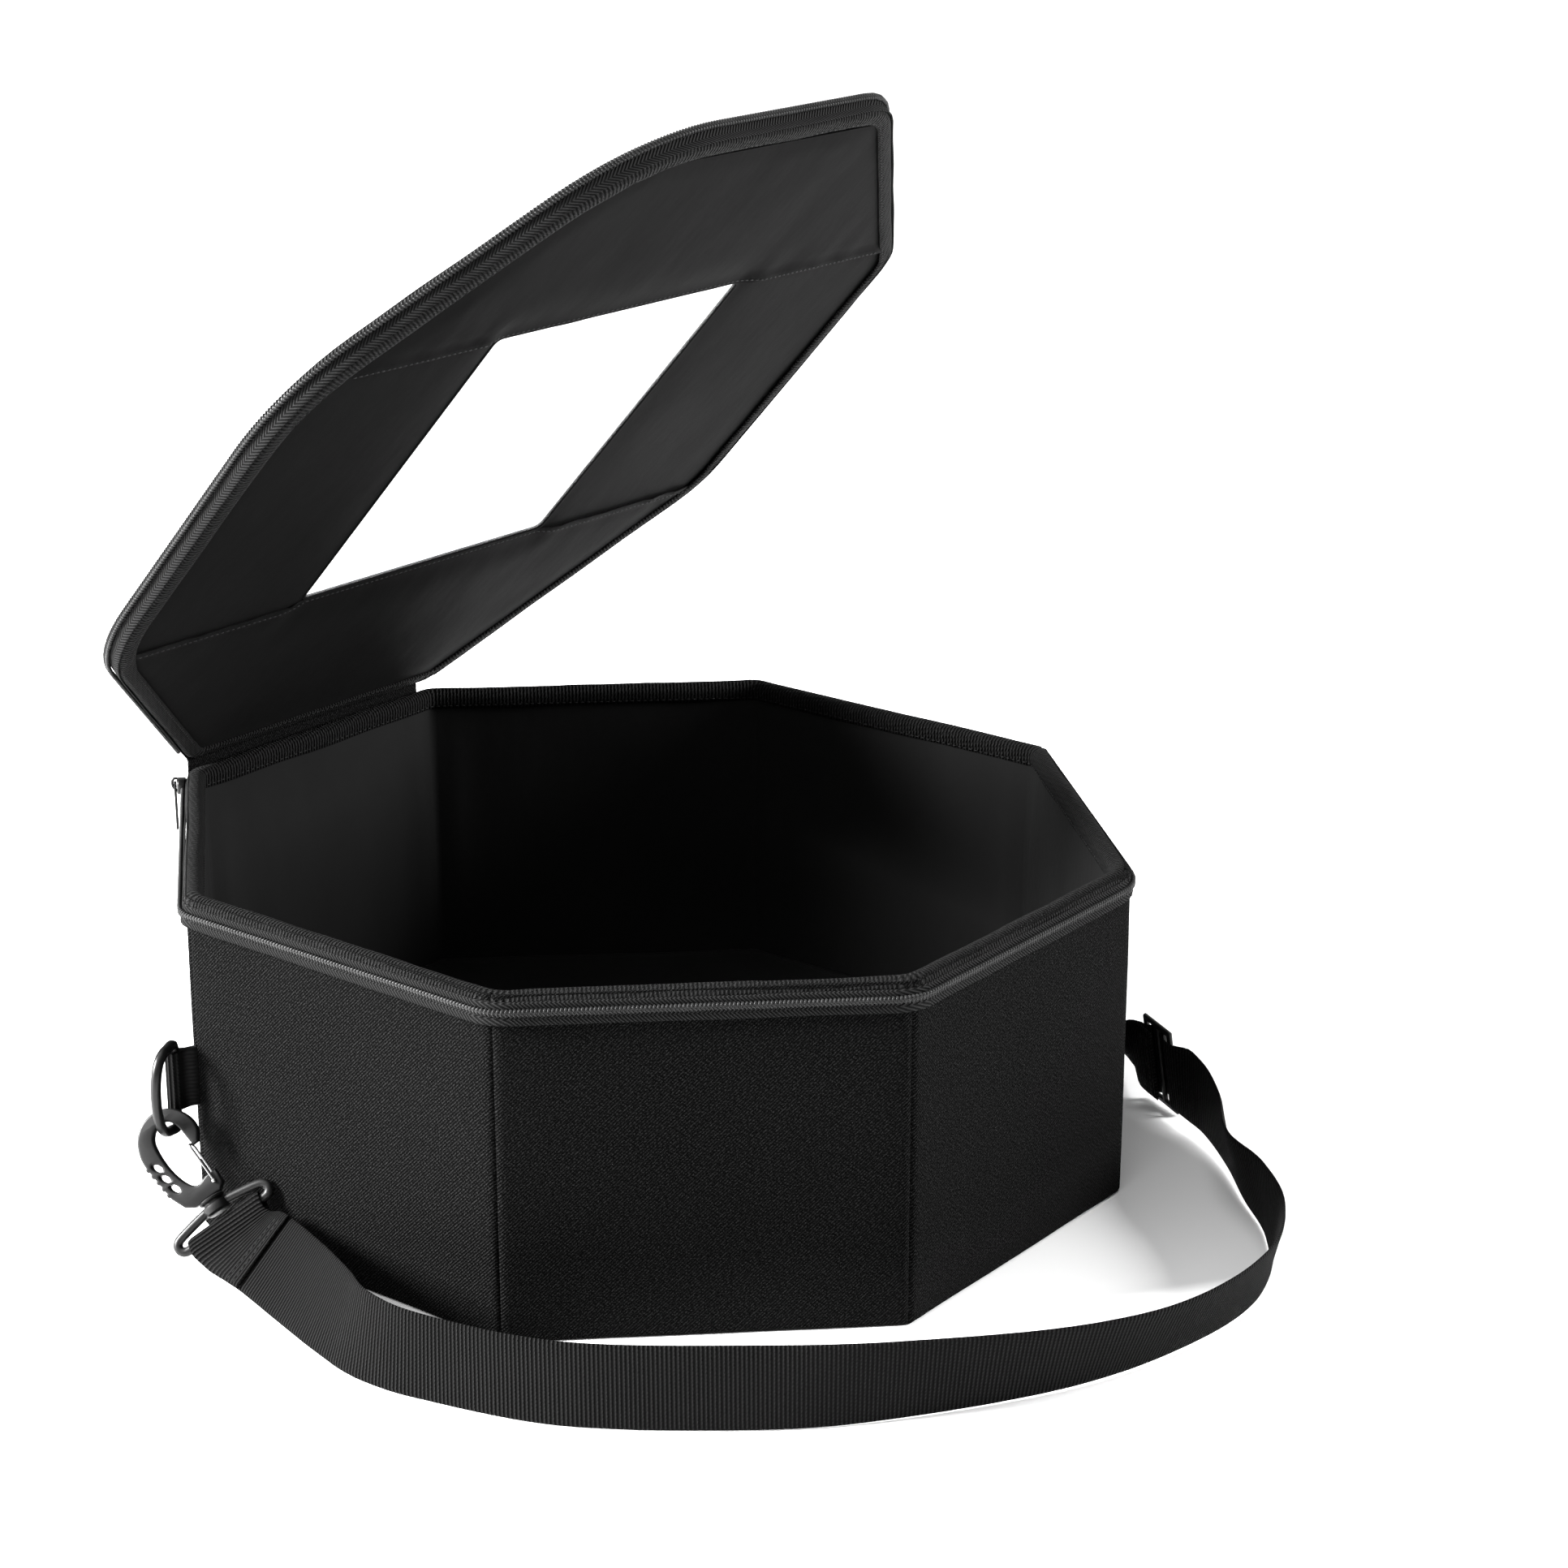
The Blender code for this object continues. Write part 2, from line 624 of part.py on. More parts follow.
    def build_loop(self, frame):
        """The swivelling loop that holds the strap, fused with the collar under the hook."""
        half = STRAP_WIDTH / 2 + LOOP_SPARE + LOOP_WIRE / 2
        top = -HOOK_LENGTH - GAP - LOOP_WIRE
        bar = top - LOOP_DROP
        corner = LOOP_WIRE
        right_half = [
            (COLLAR_RADIUS, top), (half - corner, bar + corner * 1.5), (half, bar + corner * 0.7),
            (half - corner * 0.3, bar + corner * 0.2), (half - corner, bar),
        ]
        path = [(x, 0, z) for x, z in right_half] + [(-x, 0, z) for x, z in right_half[::-1]]
        loop_mesh = tube_mesh(path, LOOP_WIRE, True)
        loop = add_part("strap_loop_" + self.side, loop_mesh, BLACK_PLASTIC, frame)
        collar_high = -HOOK_LENGTH - GAP
        join(loop, plate_mesh([circle(COLLAR_RADIUS, 16)], collar_high - COLLAR_HEIGHT, collar_high))

    def build_gate(self, frame):
        """A bent wire that straddles the hook's base and closes its mouth from inside."""
        pivot = self.hook_point(*GATE_PIVOT)
        nose = self.hook_point(*HOOK_NOSE)
        beside = HOOK_DEPTH / 2 + GAP + GATE_WIRE / 2
        foot = HOOK_DEPTH / 2 - GATE_WIRE / 2
        tip = nose.x - GAP - GATE_WIRE / 2
        points = [
            (pivot.x, -foot, pivot.z), (pivot.x, -beside, pivot.z), (tip, -beside, nose.z),
            (tip, beside, nose.z), (pivot.x, beside, pivot.z), (pivot.x, foot, pivot.z),
        ]
        origin = Vector((pivot.x, 0, pivot.z))
        points = [Vector(point) - origin for point in points]
        gate = add_part("gate_" + self.side, tube_mesh(points, GATE_WIRE, False), STEEL, frame)
        gate.location = origin


def catmull(a, b, c, d, t):
    """A point on the smooth curve between b and c."""
    square = (2 * a - 5 * b + 4 * c - d) * t ** 2
    cube = (3 * b - a - 3 * c + d) * t ** 3
    return 0.5 * (2 * b + (c - a) * t + square + cube)


def ease(x):
    x = min(max(x, 0.0), 1.0)
    return x * x * (3 - 2 * x)


class StrapPath:
    """The strap's middle line and the direction across its width, read at any length along it."""

    def __init__(self, left, right):
        half_width = BOX_WIDTH / 2 + RIM_OUT
        half_depth = BOX_DEPTH / 2 + RIM_OUT
        self.hold = LOOP_WIRE / 2 + GAP + STRAP / 2
        feet = [
            Vector((x * half_width, y * half_depth, z * STRAP_WIDTH)) for x, y, z, _ in STRAP_ROUTE
        ]
        middles, across = [], []
        for i, foot in enumerate(feet):
            travel = feet[min(i + 1, len(feet) - 1)] - feet[max(i - 1, 0)]
            to_box = Vector((-travel.y, travel.x, 0)).normalized()
            lean = math.radians(STRAP_ROUTE[i][3])
            width = Vector((0, 0, math.cos(lean))) + to_box * math.sin(lean)
            foot.z += STRAP / 2 * abs(math.sin(lean))
            middles.append(foot + width * STRAP_WIDTH / 2)
            across.append(width)
        self.start = self.end_frame(left, middles[0], 1)
        self.end = self.end_frame(right, middles[-1], -1)
        first = [self.start[0] + self.start[1] * STRAIGHT_END * i for i in (-1, 0, 1)]
        last = [self.end[0] + self.end[1] * STRAIGHT_END * i for i in (-1, 0, 1)]
        self.points = first + middles + last
        self.across = [self.start[2]] * 3 + across + [self.end[2]] * 3
        self.measure()

    def end_frame(self, hook, following, direction):
        """Where the strap leaves a hook's bar: on the box's side at the left, outside at the right."""
        across = hook.bar_direction()
        if across.z < 0:
            across = -across
        way = (following - hook.bar_middle()) * direction
        way = (way - across * way.dot(across)).normalized()
        outward = way.cross(across)
        return hook.bar_middle() - outward * self.hold * direction, way, across, outward

    def measure(self):
        self.samples = []
        for i in range(1, len(self.points) - 2):
            for step in range(STRAP_SAMPLES):
                t = step / STRAP_SAMPLES
                here = catmull(*self.points[i - 1:i + 3], t)
                width = catmull(*self.across[i - 1:i + 3], t)
                self.samples.append((here, width))
        self.samples.append((self.points[-2], self.across[-2]))
        self.lengths = [0.0]
        for a, b in zip(self.samples, self.samples[1:]):
            self.lengths.append(self.lengths[-1] + (b[0] - a[0]).length)
        self.length = self.lengths[-1]
        self.buckle_at = self.length - SLIDER_FROM_BAR

    def frame(self, length):
        """Middle, travel, width and outward directions at a length, straight at the buckle."""
        curved = self.curved_frame(length)
        away = length - self.buckle_at
        share = 1 - ease((abs(away) - BUCKLE_LENGTH * 0.6) / (BUCKLE_LENGTH * 0.5))
        if share == 0:
            return curved
        here, travel, width, out = self.curved_frame(self.buckle_at)
        straight = (here + travel * away, travel, width, out)
        mixed = [a.lerp(b, share) for a, b in zip(curved, straight)]
        return mixed[0], *(way.normalized() for way in mixed[1:])

    def curved_frame(self, length):
        if length <= 0:
            return self.start
        if length >= self.length:
            return self.end
        i = 0
        while i < len(self.lengths) - 2 and self.lengths[i + 1] < length:
            i += 1
        span = self.lengths[i + 1] - self.lengths[i]
        t = (length - self.lengths[i]) / span
        here = self.samples[i][0].lerp(self.samples[i + 1][0], t)
        width = self.samples[i][1].lerp(self.samples[i + 1][1], t)
        first = max(i - 2, 0)
        last = min(i + 3, len(self.samples) - 1)
        travel = self.samples[last][0] - self.samples[first][0]
        out = travel.cross(width).normalized()
        return here, width.cross(out).normalized(), width.normalized(), out


def strap_sections(path):
    """Middle, width direction and outward direction of each section, with both folded ends."""
    apart = STRAP + GAP
    buckle_at = path.buckle_at
    rise = STRAP + BUCKLE_DEPTH + 2 * GAP
    inner = BUCKLE_BAR / 2 + STRAP * 0.6
    outer = BUCKLE_LENGTH / 2 - BUCKLE_BAR - GAP

    def flap_space(length):
        return apart + (2 * path.hold - apart) * (1 - ease(length / FOLD_LENGTH))

    def bump(length):
        return rise * (1 - ease((abs(length - buckle_at) - inner) / (outer - inner)))

    sections = []
    flap = [FLAP_LEFT * i / 6 for i in range(6, 0, -1)]
    for length in flap:
        here, _, width, out = path.frame(length)
        sections.append((here + out * flap_space(length), width, -out))
    here, travel, width, out = path.frame(0)
    for angle in arc(0, math.pi, 7):
        centre = here + out * path.hold
        turned = out * math.cos(angle) - travel * math.sin(angle)
        sections.append((centre + turned * path.hold, width, -turned))
    steps = round(path.length / STRAP_STEP)
    plain = [path.length * i / steps for i in range(1, steps)]
    near = [buckle_at + side * x for side in (-1, 1) for x in (inner, (inner + outer) / 2, outer)]
    lengths = sorted([x for x in plain if abs(x - buckle_at) > outer + STRAP] + near + [buckle_at])
    for length in lengths:
        here, _, width, out = path.frame(length)
        sections.append((here + out * bump(length), width, out))
    here, travel, width, out = path.frame(path.length)
    for angle in arc(0, math.pi, 7):
        centre = here - out * path.hold
        turned = out * math.cos(angle) + travel * math.sin(angle)
        sections.append((centre + turned * path.hold, width, turned))
    back = [SLIDER_FROM_BAR * i / 9 for i in range(1, 10)]
    for length in back:
        here, _, width, out = path.frame(path.length - length)
        sections.append((here - out * flap_space(length), width, -out))
    return sections


def build_strap(path):
    """A flat band lofted through its sections."""
    body = bmesh.new()
    rings = []
    half_width = STRAP_WIDTH / 2
    half = STRAP / 2
    for middle, width, out in strap_sections(path):
        corners = [(half_width, half), (half_width, -half), (-half_width, -half), (-half_width, half)]
        rings.append([body.verts.new(middle + width * a + out * b) for a, b in corners])
    for first, second in zip(rings, rings[1:]):
        for i in range(4):
            j = (i + 1) % 4
            body.faces.new((first[i], first[j], second[j], second[i]))
    body.faces.new(rings[0][::-1])
    body.faces.new(rings[-1])
    bmesh.ops.recalc_face_normals(body, faces=body.faces)
    mesh = bpy.data.meshes.new("strap")
    body.to_mesh(mesh)
    body.free()
    add_part("strap", mesh, WEBBING)


def build_buckle(path):
    """The strap's length adjuster: a frame with a middle bar that the strap passes over."""
    here, travel, width, out = path.frame(path.buckle_at)
    place = Matrix((travel, width, out)).transposed().to_4x4()
    place.translation = here
    half_length = BUCKLE_LENGTH / 2
    half_width = BUCKLE_WIDTH / 2
    slot = STRAP_WIDTH / 2 + BUCKLE_SPARE
    inner = BUCKLE_BAR / 2
    outer = half_length - BUCKLE_BAR
    loops = [
        rectangle(-half_length, half_length, -half_width, half_width),
        rectangle(-outer, -inner, -slot, slot)[::-1],
        rectangle(inner, outer, -slot, slot)[::-1],
    ]
    low = STRAP / 2 + GAP
    buckle = add_part("strap_buckle", plate_mesh(loops, low, low + BUCKLE_DEPTH), BLACK_PLASTIC)
    buckle.matrix_world = place
    soften(buckle, HOOK_EDGE, 1)


def main():
    build_walls()
    build_floor_and_lining()
    build_rim_binding()
    build_box_zip()
    build_slider()
    axis = Matrix.Translation((0, AXIS_Y, AXIS_Z))
    hinge_line = add_empty("hinge_line", axis)
    hinge = add_empty("lid_hinge", axis @ Matrix.Rotation(-LID_OPEN, 4, "X"))
    build_lid(hinge)
    build_hinge_strip(hinge_line, hinge)
    corners = octagon(0)
    left = CornerHook("left", LEFT_BACK, corners[LEFT_FRONT] - corners[LEFT_BACK], 1)
    right = CornerHook("right", RIGHT_FRONT, corners[FRONT_RIGHT] - corners[RIGHT_FRONT], -1)
    for hook in (left, right):
        hook.build()
    path = StrapPath(left, right)
    build_strap(path)
    build_buckle(path)


main()
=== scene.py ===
"""Looks of the hat storage box: padded cloth walls, satin lining, ribbed edge tape, coil zip,
clear lid window, webbing strap and its snap hooks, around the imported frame."""

import math

import bmesh
import bpy
from mathutils import Matrix, Vector, noise


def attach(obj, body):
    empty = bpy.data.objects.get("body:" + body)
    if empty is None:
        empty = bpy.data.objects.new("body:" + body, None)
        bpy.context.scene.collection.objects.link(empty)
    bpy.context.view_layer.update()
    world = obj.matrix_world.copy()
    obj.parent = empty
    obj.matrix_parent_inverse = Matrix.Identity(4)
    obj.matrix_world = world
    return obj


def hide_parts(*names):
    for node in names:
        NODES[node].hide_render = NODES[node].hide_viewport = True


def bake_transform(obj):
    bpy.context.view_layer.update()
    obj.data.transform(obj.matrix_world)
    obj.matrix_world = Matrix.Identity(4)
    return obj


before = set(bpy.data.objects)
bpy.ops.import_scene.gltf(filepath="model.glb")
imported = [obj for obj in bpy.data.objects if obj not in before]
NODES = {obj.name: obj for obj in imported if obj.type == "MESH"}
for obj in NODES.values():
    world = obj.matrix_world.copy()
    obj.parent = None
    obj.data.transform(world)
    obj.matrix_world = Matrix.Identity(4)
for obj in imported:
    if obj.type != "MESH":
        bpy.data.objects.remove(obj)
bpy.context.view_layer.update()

# Box, in metres, as the frame was built
BOX_WIDTH, BOX_DEPTH, BOX_HEIGHT = 0.406, 0.438, 0.167
HINGE_FLAT, SIDE_FLAT = 0.166, 0.182
GAP = 0.0003
BINDING = 0.001
LINING_IN = BINDING + GAP
WALL_IN = LINING_IN + 0.001 + GAP
WALL_OUT = WALL_IN + 0.0055
RIM_OUT = WALL_OUT + GAP + BINDING
RIM_TOP = BOX_HEIGHT
WALL_TOP = RIM_TOP - BINDING - GAP
FLOOR = 0.006
AXIS_Y = BOX_DEPTH / 2 + RIM_OUT + 0.0024
AXIS_Z = RIM_TOP + GAP
LID_OPEN = math.radians(47.3)
LID_LOW = BINDING + GAP
LID_HIGH = LID_LOW + 0.005
LID_TOP = LID_HIGH + BINDING + GAP
WINDOW_NEAR, WINDOW_FAR, WINDOW_SIDE = -0.138, -0.334, 0.086
PANE = (LID_LOW + LID_HIGH) / 2
LID = Matrix.Translation((0, AXIS_Y, AXIS_Z)) @ Matrix.Rotation(-LID_OPEN, 4, "X")

# Cloth
BOX_ROUNDS = [0.014, 0.010, 0.022, 0.008, 0.006, 0.006, 0.006, 0.007]
LID_ROUNDS = [0.090, 0.110, 0.026, 0.016, 0.034, 0.005, 0.006, 0.070]
NO_PULLS = [0.0] * 8
LID_PULLS = [0.006, 0.002, -0.003, -0.004, -0.003, 0.0, 0.003, 0.005]
STEP = 0.008
STITCH = 0.0034
TOOTH_PITCH = 0.0018


# Camera and light

def place_camera():
    right = Vector((0.61572, -0.78797, 0.0))
    up = Vector((0.25855, 0.20203, 0.94464))
    back = right.cross(up)
    turn = Matrix((right, up, back)).transposed().to_4x4()
    data = bpy.data.cameras.new("camera")
    data.sensor_width = 36.0
    data.lens = 78.78
    camera = bpy.data.objects.new("camera", data)
    camera.matrix_world = Matrix.Translation((-1.1959, -1.0226, 0.7292)) @ turn
    bpy.context.scene.collection.objects.link(camera)
    bpy.context.scene.camera = camera


def soft_light(name, place, aim, size, watts):
    data = bpy.data.lights.new(name, "AREA")
    data.shape = "RECTANGLE"
    data.size, data.size_y = size
    data.energy = watts
    light = bpy.data.objects.new(name, data)
    light.location = place
    light.rotation_euler = (Vector(aim) - Vector(place)).to_track_quat("-Z", "Y").to_euler()
    bpy.context.scene.collection.objects.link(light)


def light_studio():
    """An even white ceiling, with a softbox on the left and a weaker one on the right."""
    world = bpy.data.worlds.new("studio")
    world.use_nodes = True
    world.node_tree.nodes["Background"].inputs["Color"].default_value = (1, 1, 1, 1)
    world.node_tree.nodes["Background"].inputs["Strength"].default_value = 0.30
    bpy.context.scene.world = world
    bpy.context.scene.view_settings.view_transform = "Standard"
    data = bpy.data.lights.new("ceiling", "SUN")
    data.energy = 2.2
    data.angle = math.radians(75)
    ceiling = bpy.data.objects.new("ceiling", data)
    ceiling.rotation_euler = Vector((0.45, -0.30, -1.0)).to_track_quat("-Z", "Y").to_euler()
    bpy.context.scene.collection.objects.link(ceiling)
    soft_light("left_box", (-3.0, 2.5, 1.8), (0, 0, 0.10), (1.2, 1.4), 1150)
    soft_light("right_box", (1.9, -2.0, 1.2), (0, -0.05, 0.15), (1.0, 1.4), 190)


# Shader building

class Wire:
    """A socket of a material's tree that takes part in ordinary sums."""

    def __init__(self, paint, socket):
        self.paint = paint
        self.socket = socket

    def sum(self, operation, first, second):
        return self.paint.node("ShaderNodeMath", {"operation": operation}, {0: first, 1: second})

    def __add__(self, other):
        return self.sum("ADD", self, other)

    def __radd__(self, other):
        return self.sum("ADD", other, self)

    def __sub__(self, other):
        return self.sum("SUBTRACT", self, other)

    def __rsub__(self, other):
        return self.sum("SUBTRACT", other, self)

    def __mul__(self, other):
        return self.sum("MULTIPLY", self, other)

    def __rmul__(self, other):
        return self.sum("MULTIPLY", other, self)

    def __truediv__(self, other):
        return self.sum("DIVIDE", self, other)

    def __abs__(self):
        return self.sum("ABSOLUTE", self, 0.0)

    def __pow__(self, other):
        return self.sum("POWER", self, other)


class Paint:
    """One material, built up from its surface shader backwards."""

    def __init__(self, name, roughness, metallic=0.0, gloss=0.5):
        self.material = bpy.data.materials.new(name)
        self.material.use_nodes = True
        self.tree = self.material.node_tree
        self.shader = self.tree.nodes["Principled BSDF"]
        self.set("Roughness", roughness)
        self.set("Metallic", metallic)
        self.set("Specular IOR Level", gloss)

    def set(self, socket, value):
        if isinstance(value, Wire):
            self.tree.links.new(value.socket, self.shader.inputs[socket])
        else:
            self.shader.inputs[socket].default_value = value

    def node(self, kind, settings=None, values=None, output=0):
        made = self.tree.nodes.new(kind)
        for name, value in (settings or {}).items():
            setattr(made, name, value)
        for key, value in (values or {}).items():
            if isinstance(value, Wire):
                self.tree.links.new(value.socket, made.inputs[key])
            else:
                made.inputs[key].default_value = value
        return Wire(self, made.outputs[output])

    def place(self, scale=(1, 1, 1), turn=0.0, own_map=True):
        where = self.node("ShaderNodeTexCoord", output="UV" if own_map else "Object")
        return self.node("ShaderNodeMapping", {}, {
            "Vector": where, "Scale": scale, "Rotation": (0, 0, turn),
        })

    def parts(self, vector):
        split = self.node("ShaderNodeSeparateXYZ", {}, {0: vector})
        made = split.socket.node
        return Wire(self, made.outputs[0]), Wire(self, made.outputs[1]), Wire(self, made.outputs[2])

    def noise(self, vector, scale, detail=3.0, rough=0.55):
        return self.node("ShaderNodeTexNoise", {}, {
            "Vector": vector, "Scale": scale, "Detail": detail, "Roughness": rough,
        })

    def wave(self, value, pitch, phase=0.0):
        turned = value * (2 * math.pi / pitch) + phase
        return self.node("ShaderNodeMath", {"operation": "SINE"}, {0: turned}) * 0.5 + 0.5

    def step(self, value, low, high):
        return self.node("ShaderNodeMapRange", {"interpolation_type": "SMOOTHSTEP"}, {
            "Value": value, "From Min": low, "From Max": high,
        })

    def blend(self, share, low, high):
        return self.node("ShaderNodeMix", {"data_type": "RGBA"}, {
            0: share, 6: (*low, 1), 7: (*high, 1),
        }, output=2)

    def bump(self, height, depth, strength=1.0, under=None):
        values = {"Height": height, "Distance": depth, "Strength": strength}
        if under:
            values["Normal"] = under
        return self.node("ShaderNodeBump", {}, values)


def grey(level, warm=0.0):
    return (level * (1 + warm), level, level * (1 - warm * 0.5))


def cover_cloth():
    """Close-woven polyester twill: dark, with fine slanting lines broken into paler flecks."""
    paint = Paint("cover_cloth", 0.78, gloss=0.006)
    u, v, _ = paint.parts(paint.place())
    twill = paint.wave(u - v, 0.0017)
    across = paint.wave(u * 0.8 + v, 0.0021)
    fleck = paint.noise(paint.place((1, 1.3, 1), 0.8), 850, 2.0, 0.7)
    spots = paint.step(fleck + twill * 0.10, 0.50, 0.72)
    drift = paint.noise(paint.place(), 14, 3.0)
    shade = spots * (twill * 0.7 + 0.3) + twill * across * 0.20 + drift * 0.10
    paint.set("Base Color", paint.blend(shade, grey(0.0006), grey(0.0150)))
    paint.set("Roughness", 0.70 + spots * 0.12)
    paint.set("Sheen Weight", 0.006)
    fine = paint.bump(twill + spots * 0.8, 0.0003)
    paint.set("Normal", paint.bump(drift, 0.0006, 0.6, fine))
    return paint.material


# Light level and gloss are set per copy, so one lining cloth can be painted lighter or darker: painted light and
# painted shade.
def lining_satin(name, light, gloss):
    """Thin black nylon, smooth and slightly shiny, with soft creases."""
    paint = Paint(name, 0.46, gloss=gloss)
    u, v, _ = paint.parts(paint.place())
    threads = paint.wave(u, 0.0006) * 0.5 + paint.wave(v, 0.0006) * 0.5
    crease = paint.noise(paint.place((1, 0.45, 1), 0.3), 22, 4.0, 0.6)
    soft = paint.noise(paint.place(), 6, 2.0)
    paint.set("Base Color", paint.blend(soft * 0.7 + crease * 0.3, grey(light * 0.36), grey(light)))
    paint.set("Roughness", 0.40 + crease * 0.16)
    paint.set("Sheen Weight", 0.008)
    fine = paint.bump(threads, 0.00003, 0.7)
    paint.set("Normal", paint.bump(crease, 0.0011, 0.5, fine))
    return paint.material


def ribbed_ribbon():
    """Edge tape with cross ribs and a grain of paler threads."""
    paint = Paint("ribbed_ribbon", 0.72, gloss=0.02)
    u, v, _ = paint.parts(paint.place())
    ribs = paint.wave(u, 0.0019)
    checks = ribs * paint.wave(v + u * 1.6, 0.0026)
    grain = paint.noise(paint.place((1, 0.6, 1), 0.6), 1000, 2.0, 0.7)
    spots = paint.step(grain, 0.48, 0.70)
    shade = ribs * 0.30 + checks * 0.35 + spots * 0.35
    paint.set("Base Color", paint.blend(shade, grey(0.0008), grey(0.0260)))
    paint.set("Roughness", 0.60 + spots * 0.15)
    paint.set("Sheen Weight", 0.01)
    fine = paint.bump(ribs + checks + spots * 0.4, 0.0006)
    paint.set("Normal", paint.bump(paint.noise(paint.place(), 90, 2.0), 0.0005, 0.5, fine))
    return paint.material


def zip_cloth():
    """Zip tape in a herringbone twill, its chevrons running along the tape."""
    paint = Paint("zip_cloth", 0.74, gloss=0.02)
    u, v, _ = paint.parts(paint.place())
    zigzag = abs(paint.node("ShaderNodeMath", {"operation": "PINGPONG"}, {0: v, 1: 0.0034}))
    twill = paint.wave(u + zigzag * 1.1, 0.0019)
    grain = paint.noise(paint.place(), 1200, 2.0)
    shade = twill * 0.75 + grain * 0.25
    paint.set("Base Color", paint.blend(shade, grey(0.0008), grey(0.0240)))
    paint.set("Normal", paint.bump(twill + grain * 0.4, 0.0005))
    return paint.material


def webbing():
    """Polyester webbing: close cross ribs, each broken by a fine diagonal of threads."""
    paint = Paint("webbing", 0.66, gloss=0.015)
    u, v, _ = paint.parts(paint.place())
    ribs = paint.wave(u, 0.0019) ** 1.4
    diagonal = paint.wave(v + u * 0.8, 0.0019)
    grain = paint.noise(paint.place((1, 0.7, 1)), 1000, 2.0, 0.6)
    drift = paint.noise(paint.place(), 30, 2.0)
    shade = ribs * 0.46 + ribs * diagonal * 0.34 + grain * 0.10 + drift * 0.10
    paint.set("Base Color", paint.blend(shade, grey(0.0006), grey(0.0165)))
    paint.set("Roughness", 0.55 + grain * 0.2)
    paint.set("Sheen Weight", 0.006)
    paint.set("Normal", paint.bump(ribs + ribs * diagonal * 0.5, 0.0007))
    return paint.material


def sewing_thread():
    paint = Paint("sewing_thread", 0.6, gloss=0.10)
    twist = paint.noise(paint.place(own_map=False), 1500, 1.0)
    paint.set("Base Color", paint.blend(twist, grey(0.004), grey(0.018)))
    return paint.material


def zip_coil():
    """Dyed nylon coil, glossy, a little greyer where it is handled."""
    paint = Paint("zip_coil", 0.3, gloss=0.12)
    wear = paint.noise(paint.place(own_map=False), 60, 3.0)
    paint.set("Base Color", paint.blend(wear, grey(0.008), grey(0.030)))
    paint.set("Roughness", 0.24 + wear * 0.2)
    return paint.material


def black_metal():
    """Black coated steel with a satin gloss and faint rubbing."""
    paint = Paint("black_metal", 0.32, 0.2, gloss=0.4)
    rub = paint.noise(paint.place(own_map=False), 160, 4.0, 0.65)
    paint.set("Base Color", paint.blend(paint.step(rub, 0.45, 0.8), grey(0.003), grey(0.010)))
    paint.set("Roughness", 0.26 + rub * 0.18)
    paint.set("Normal", paint.bump(rub, 0.00006, 0.5))
    return paint.material


def black_plastic():
    """Moulded plastic with a fine matt grain and soft sheen on its edges."""
    paint = Paint("black_plastic", 0.42, gloss=0.30)
    grain = paint.noise(paint.place(own_map=False), 1500, 2.0)
    cloud = paint.noise(paint.place(own_map=False), 90, 2.0)
    paint.set("Base Color", paint.blend(cloud, grey(0.0022), grey(0.006)))
    paint.set("Roughness", 0.32 + grain * 0.14 + cloud * 0.05)
    paint.set("Normal", paint.bump(grain, 0.00004, 0.5))
    return paint.material


def bright_steel():
    paint = Paint("bright_steel", 0.26, 1.0)
    draw = paint.noise(paint.place((1, 1, 6), own_map=False), 700, 2.0)
    paint.set("Base Color", paint.blend(draw, grey(0.22), grey(0.46)))
    paint.set("Roughness", 0.16 + draw * 0.16)
    return paint.material


def clear_sheet():
    """Clear flexible sheet: almost nothing but a soft gloss and slight ripples."""
    paint = Paint("clear_sheet", 0.08)
    ripple = paint.noise(paint.place(own_map=False), 9, 2.0)
    paint.set("Base Color", paint.blend(ripple, (0.93, 0.94, 0.95), (0.99, 0.99, 1.0)))
    paint.set("Roughness", 0.05 + ripple * 0.06)
    paint.set("Alpha", 0.10 + ripple * 0.06)
    paint.set("Normal", paint.bump(ripple, 0.0006, 0.4))
    return paint.material


def studio_floor():
    paint = Paint("studio_floor", 0.6)
    tone = paint.noise(paint.place(own_map=False), 3, 2.0)
    paint.set("Base Color", paint.blend(tone, (0.93, 0.93, 0.93), (0.95, 0.95, 0.95)))
    return paint.material


CLOTH = cover_cloth()
# Two copies of the same lining nylon. The lid's copy is painted darker (painted shade). The box's inside copy is
# painted lighter and glossier (painted light for the inside).
LID_SATIN_PAINTED_DARKER = lining_satin("lid_satin_painted_darker", 0.0040, 0.004)
BOX_SATIN_PAINTED_LIGHTER = lining_satin("box_satin_painted_lighter", 0.0130, 0.040)
RIBBON = ribbed_ribbon()
TAPE = zip_cloth()
WEB = webbing()
THREAD = sewing_thread()
COIL = zip_coil()
METAL = black_metal()
PLASTIC = black_plastic()
STEEL = bright_steel()
CLEAR = clear_sheet()


# Building

def add_piece(name, body, finish, carrier, turn=None):
    """A mesh built in code, placed, given its finish and set on the body that carries it."""
    if turn:
        bmesh.ops.transform(body, matrix=turn, verts=body.verts)
    bmesh.ops.recalc_face_normals(body, faces=body.faces)
    mesh = bpy.data.meshes.new(name)
    body.to_mesh(mesh)
    body.free()
    for material in (finish if isinstance(finish, list) else [finish]):
        mesh.materials.append(material)
    for face in mesh.polygons:
        face.use_smooth = True
    piece = bpy.data.objects.new(name, mesh)
    bpy.context.scene.collection.objects.link(piece)
    if carrier:
        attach(piece, carrier)
    return piece


def pick(piece):
    bpy.ops.object.select_all(action="DESELECT")
    piece.select_set(True)
    bpy.context.view_layer.objects.active = piece


def hold(piece, degrees=40):
    pick(piece)
    bpy.ops.object.shade_smooth_by_angle(angle=math.radians(degrees))
    return piece


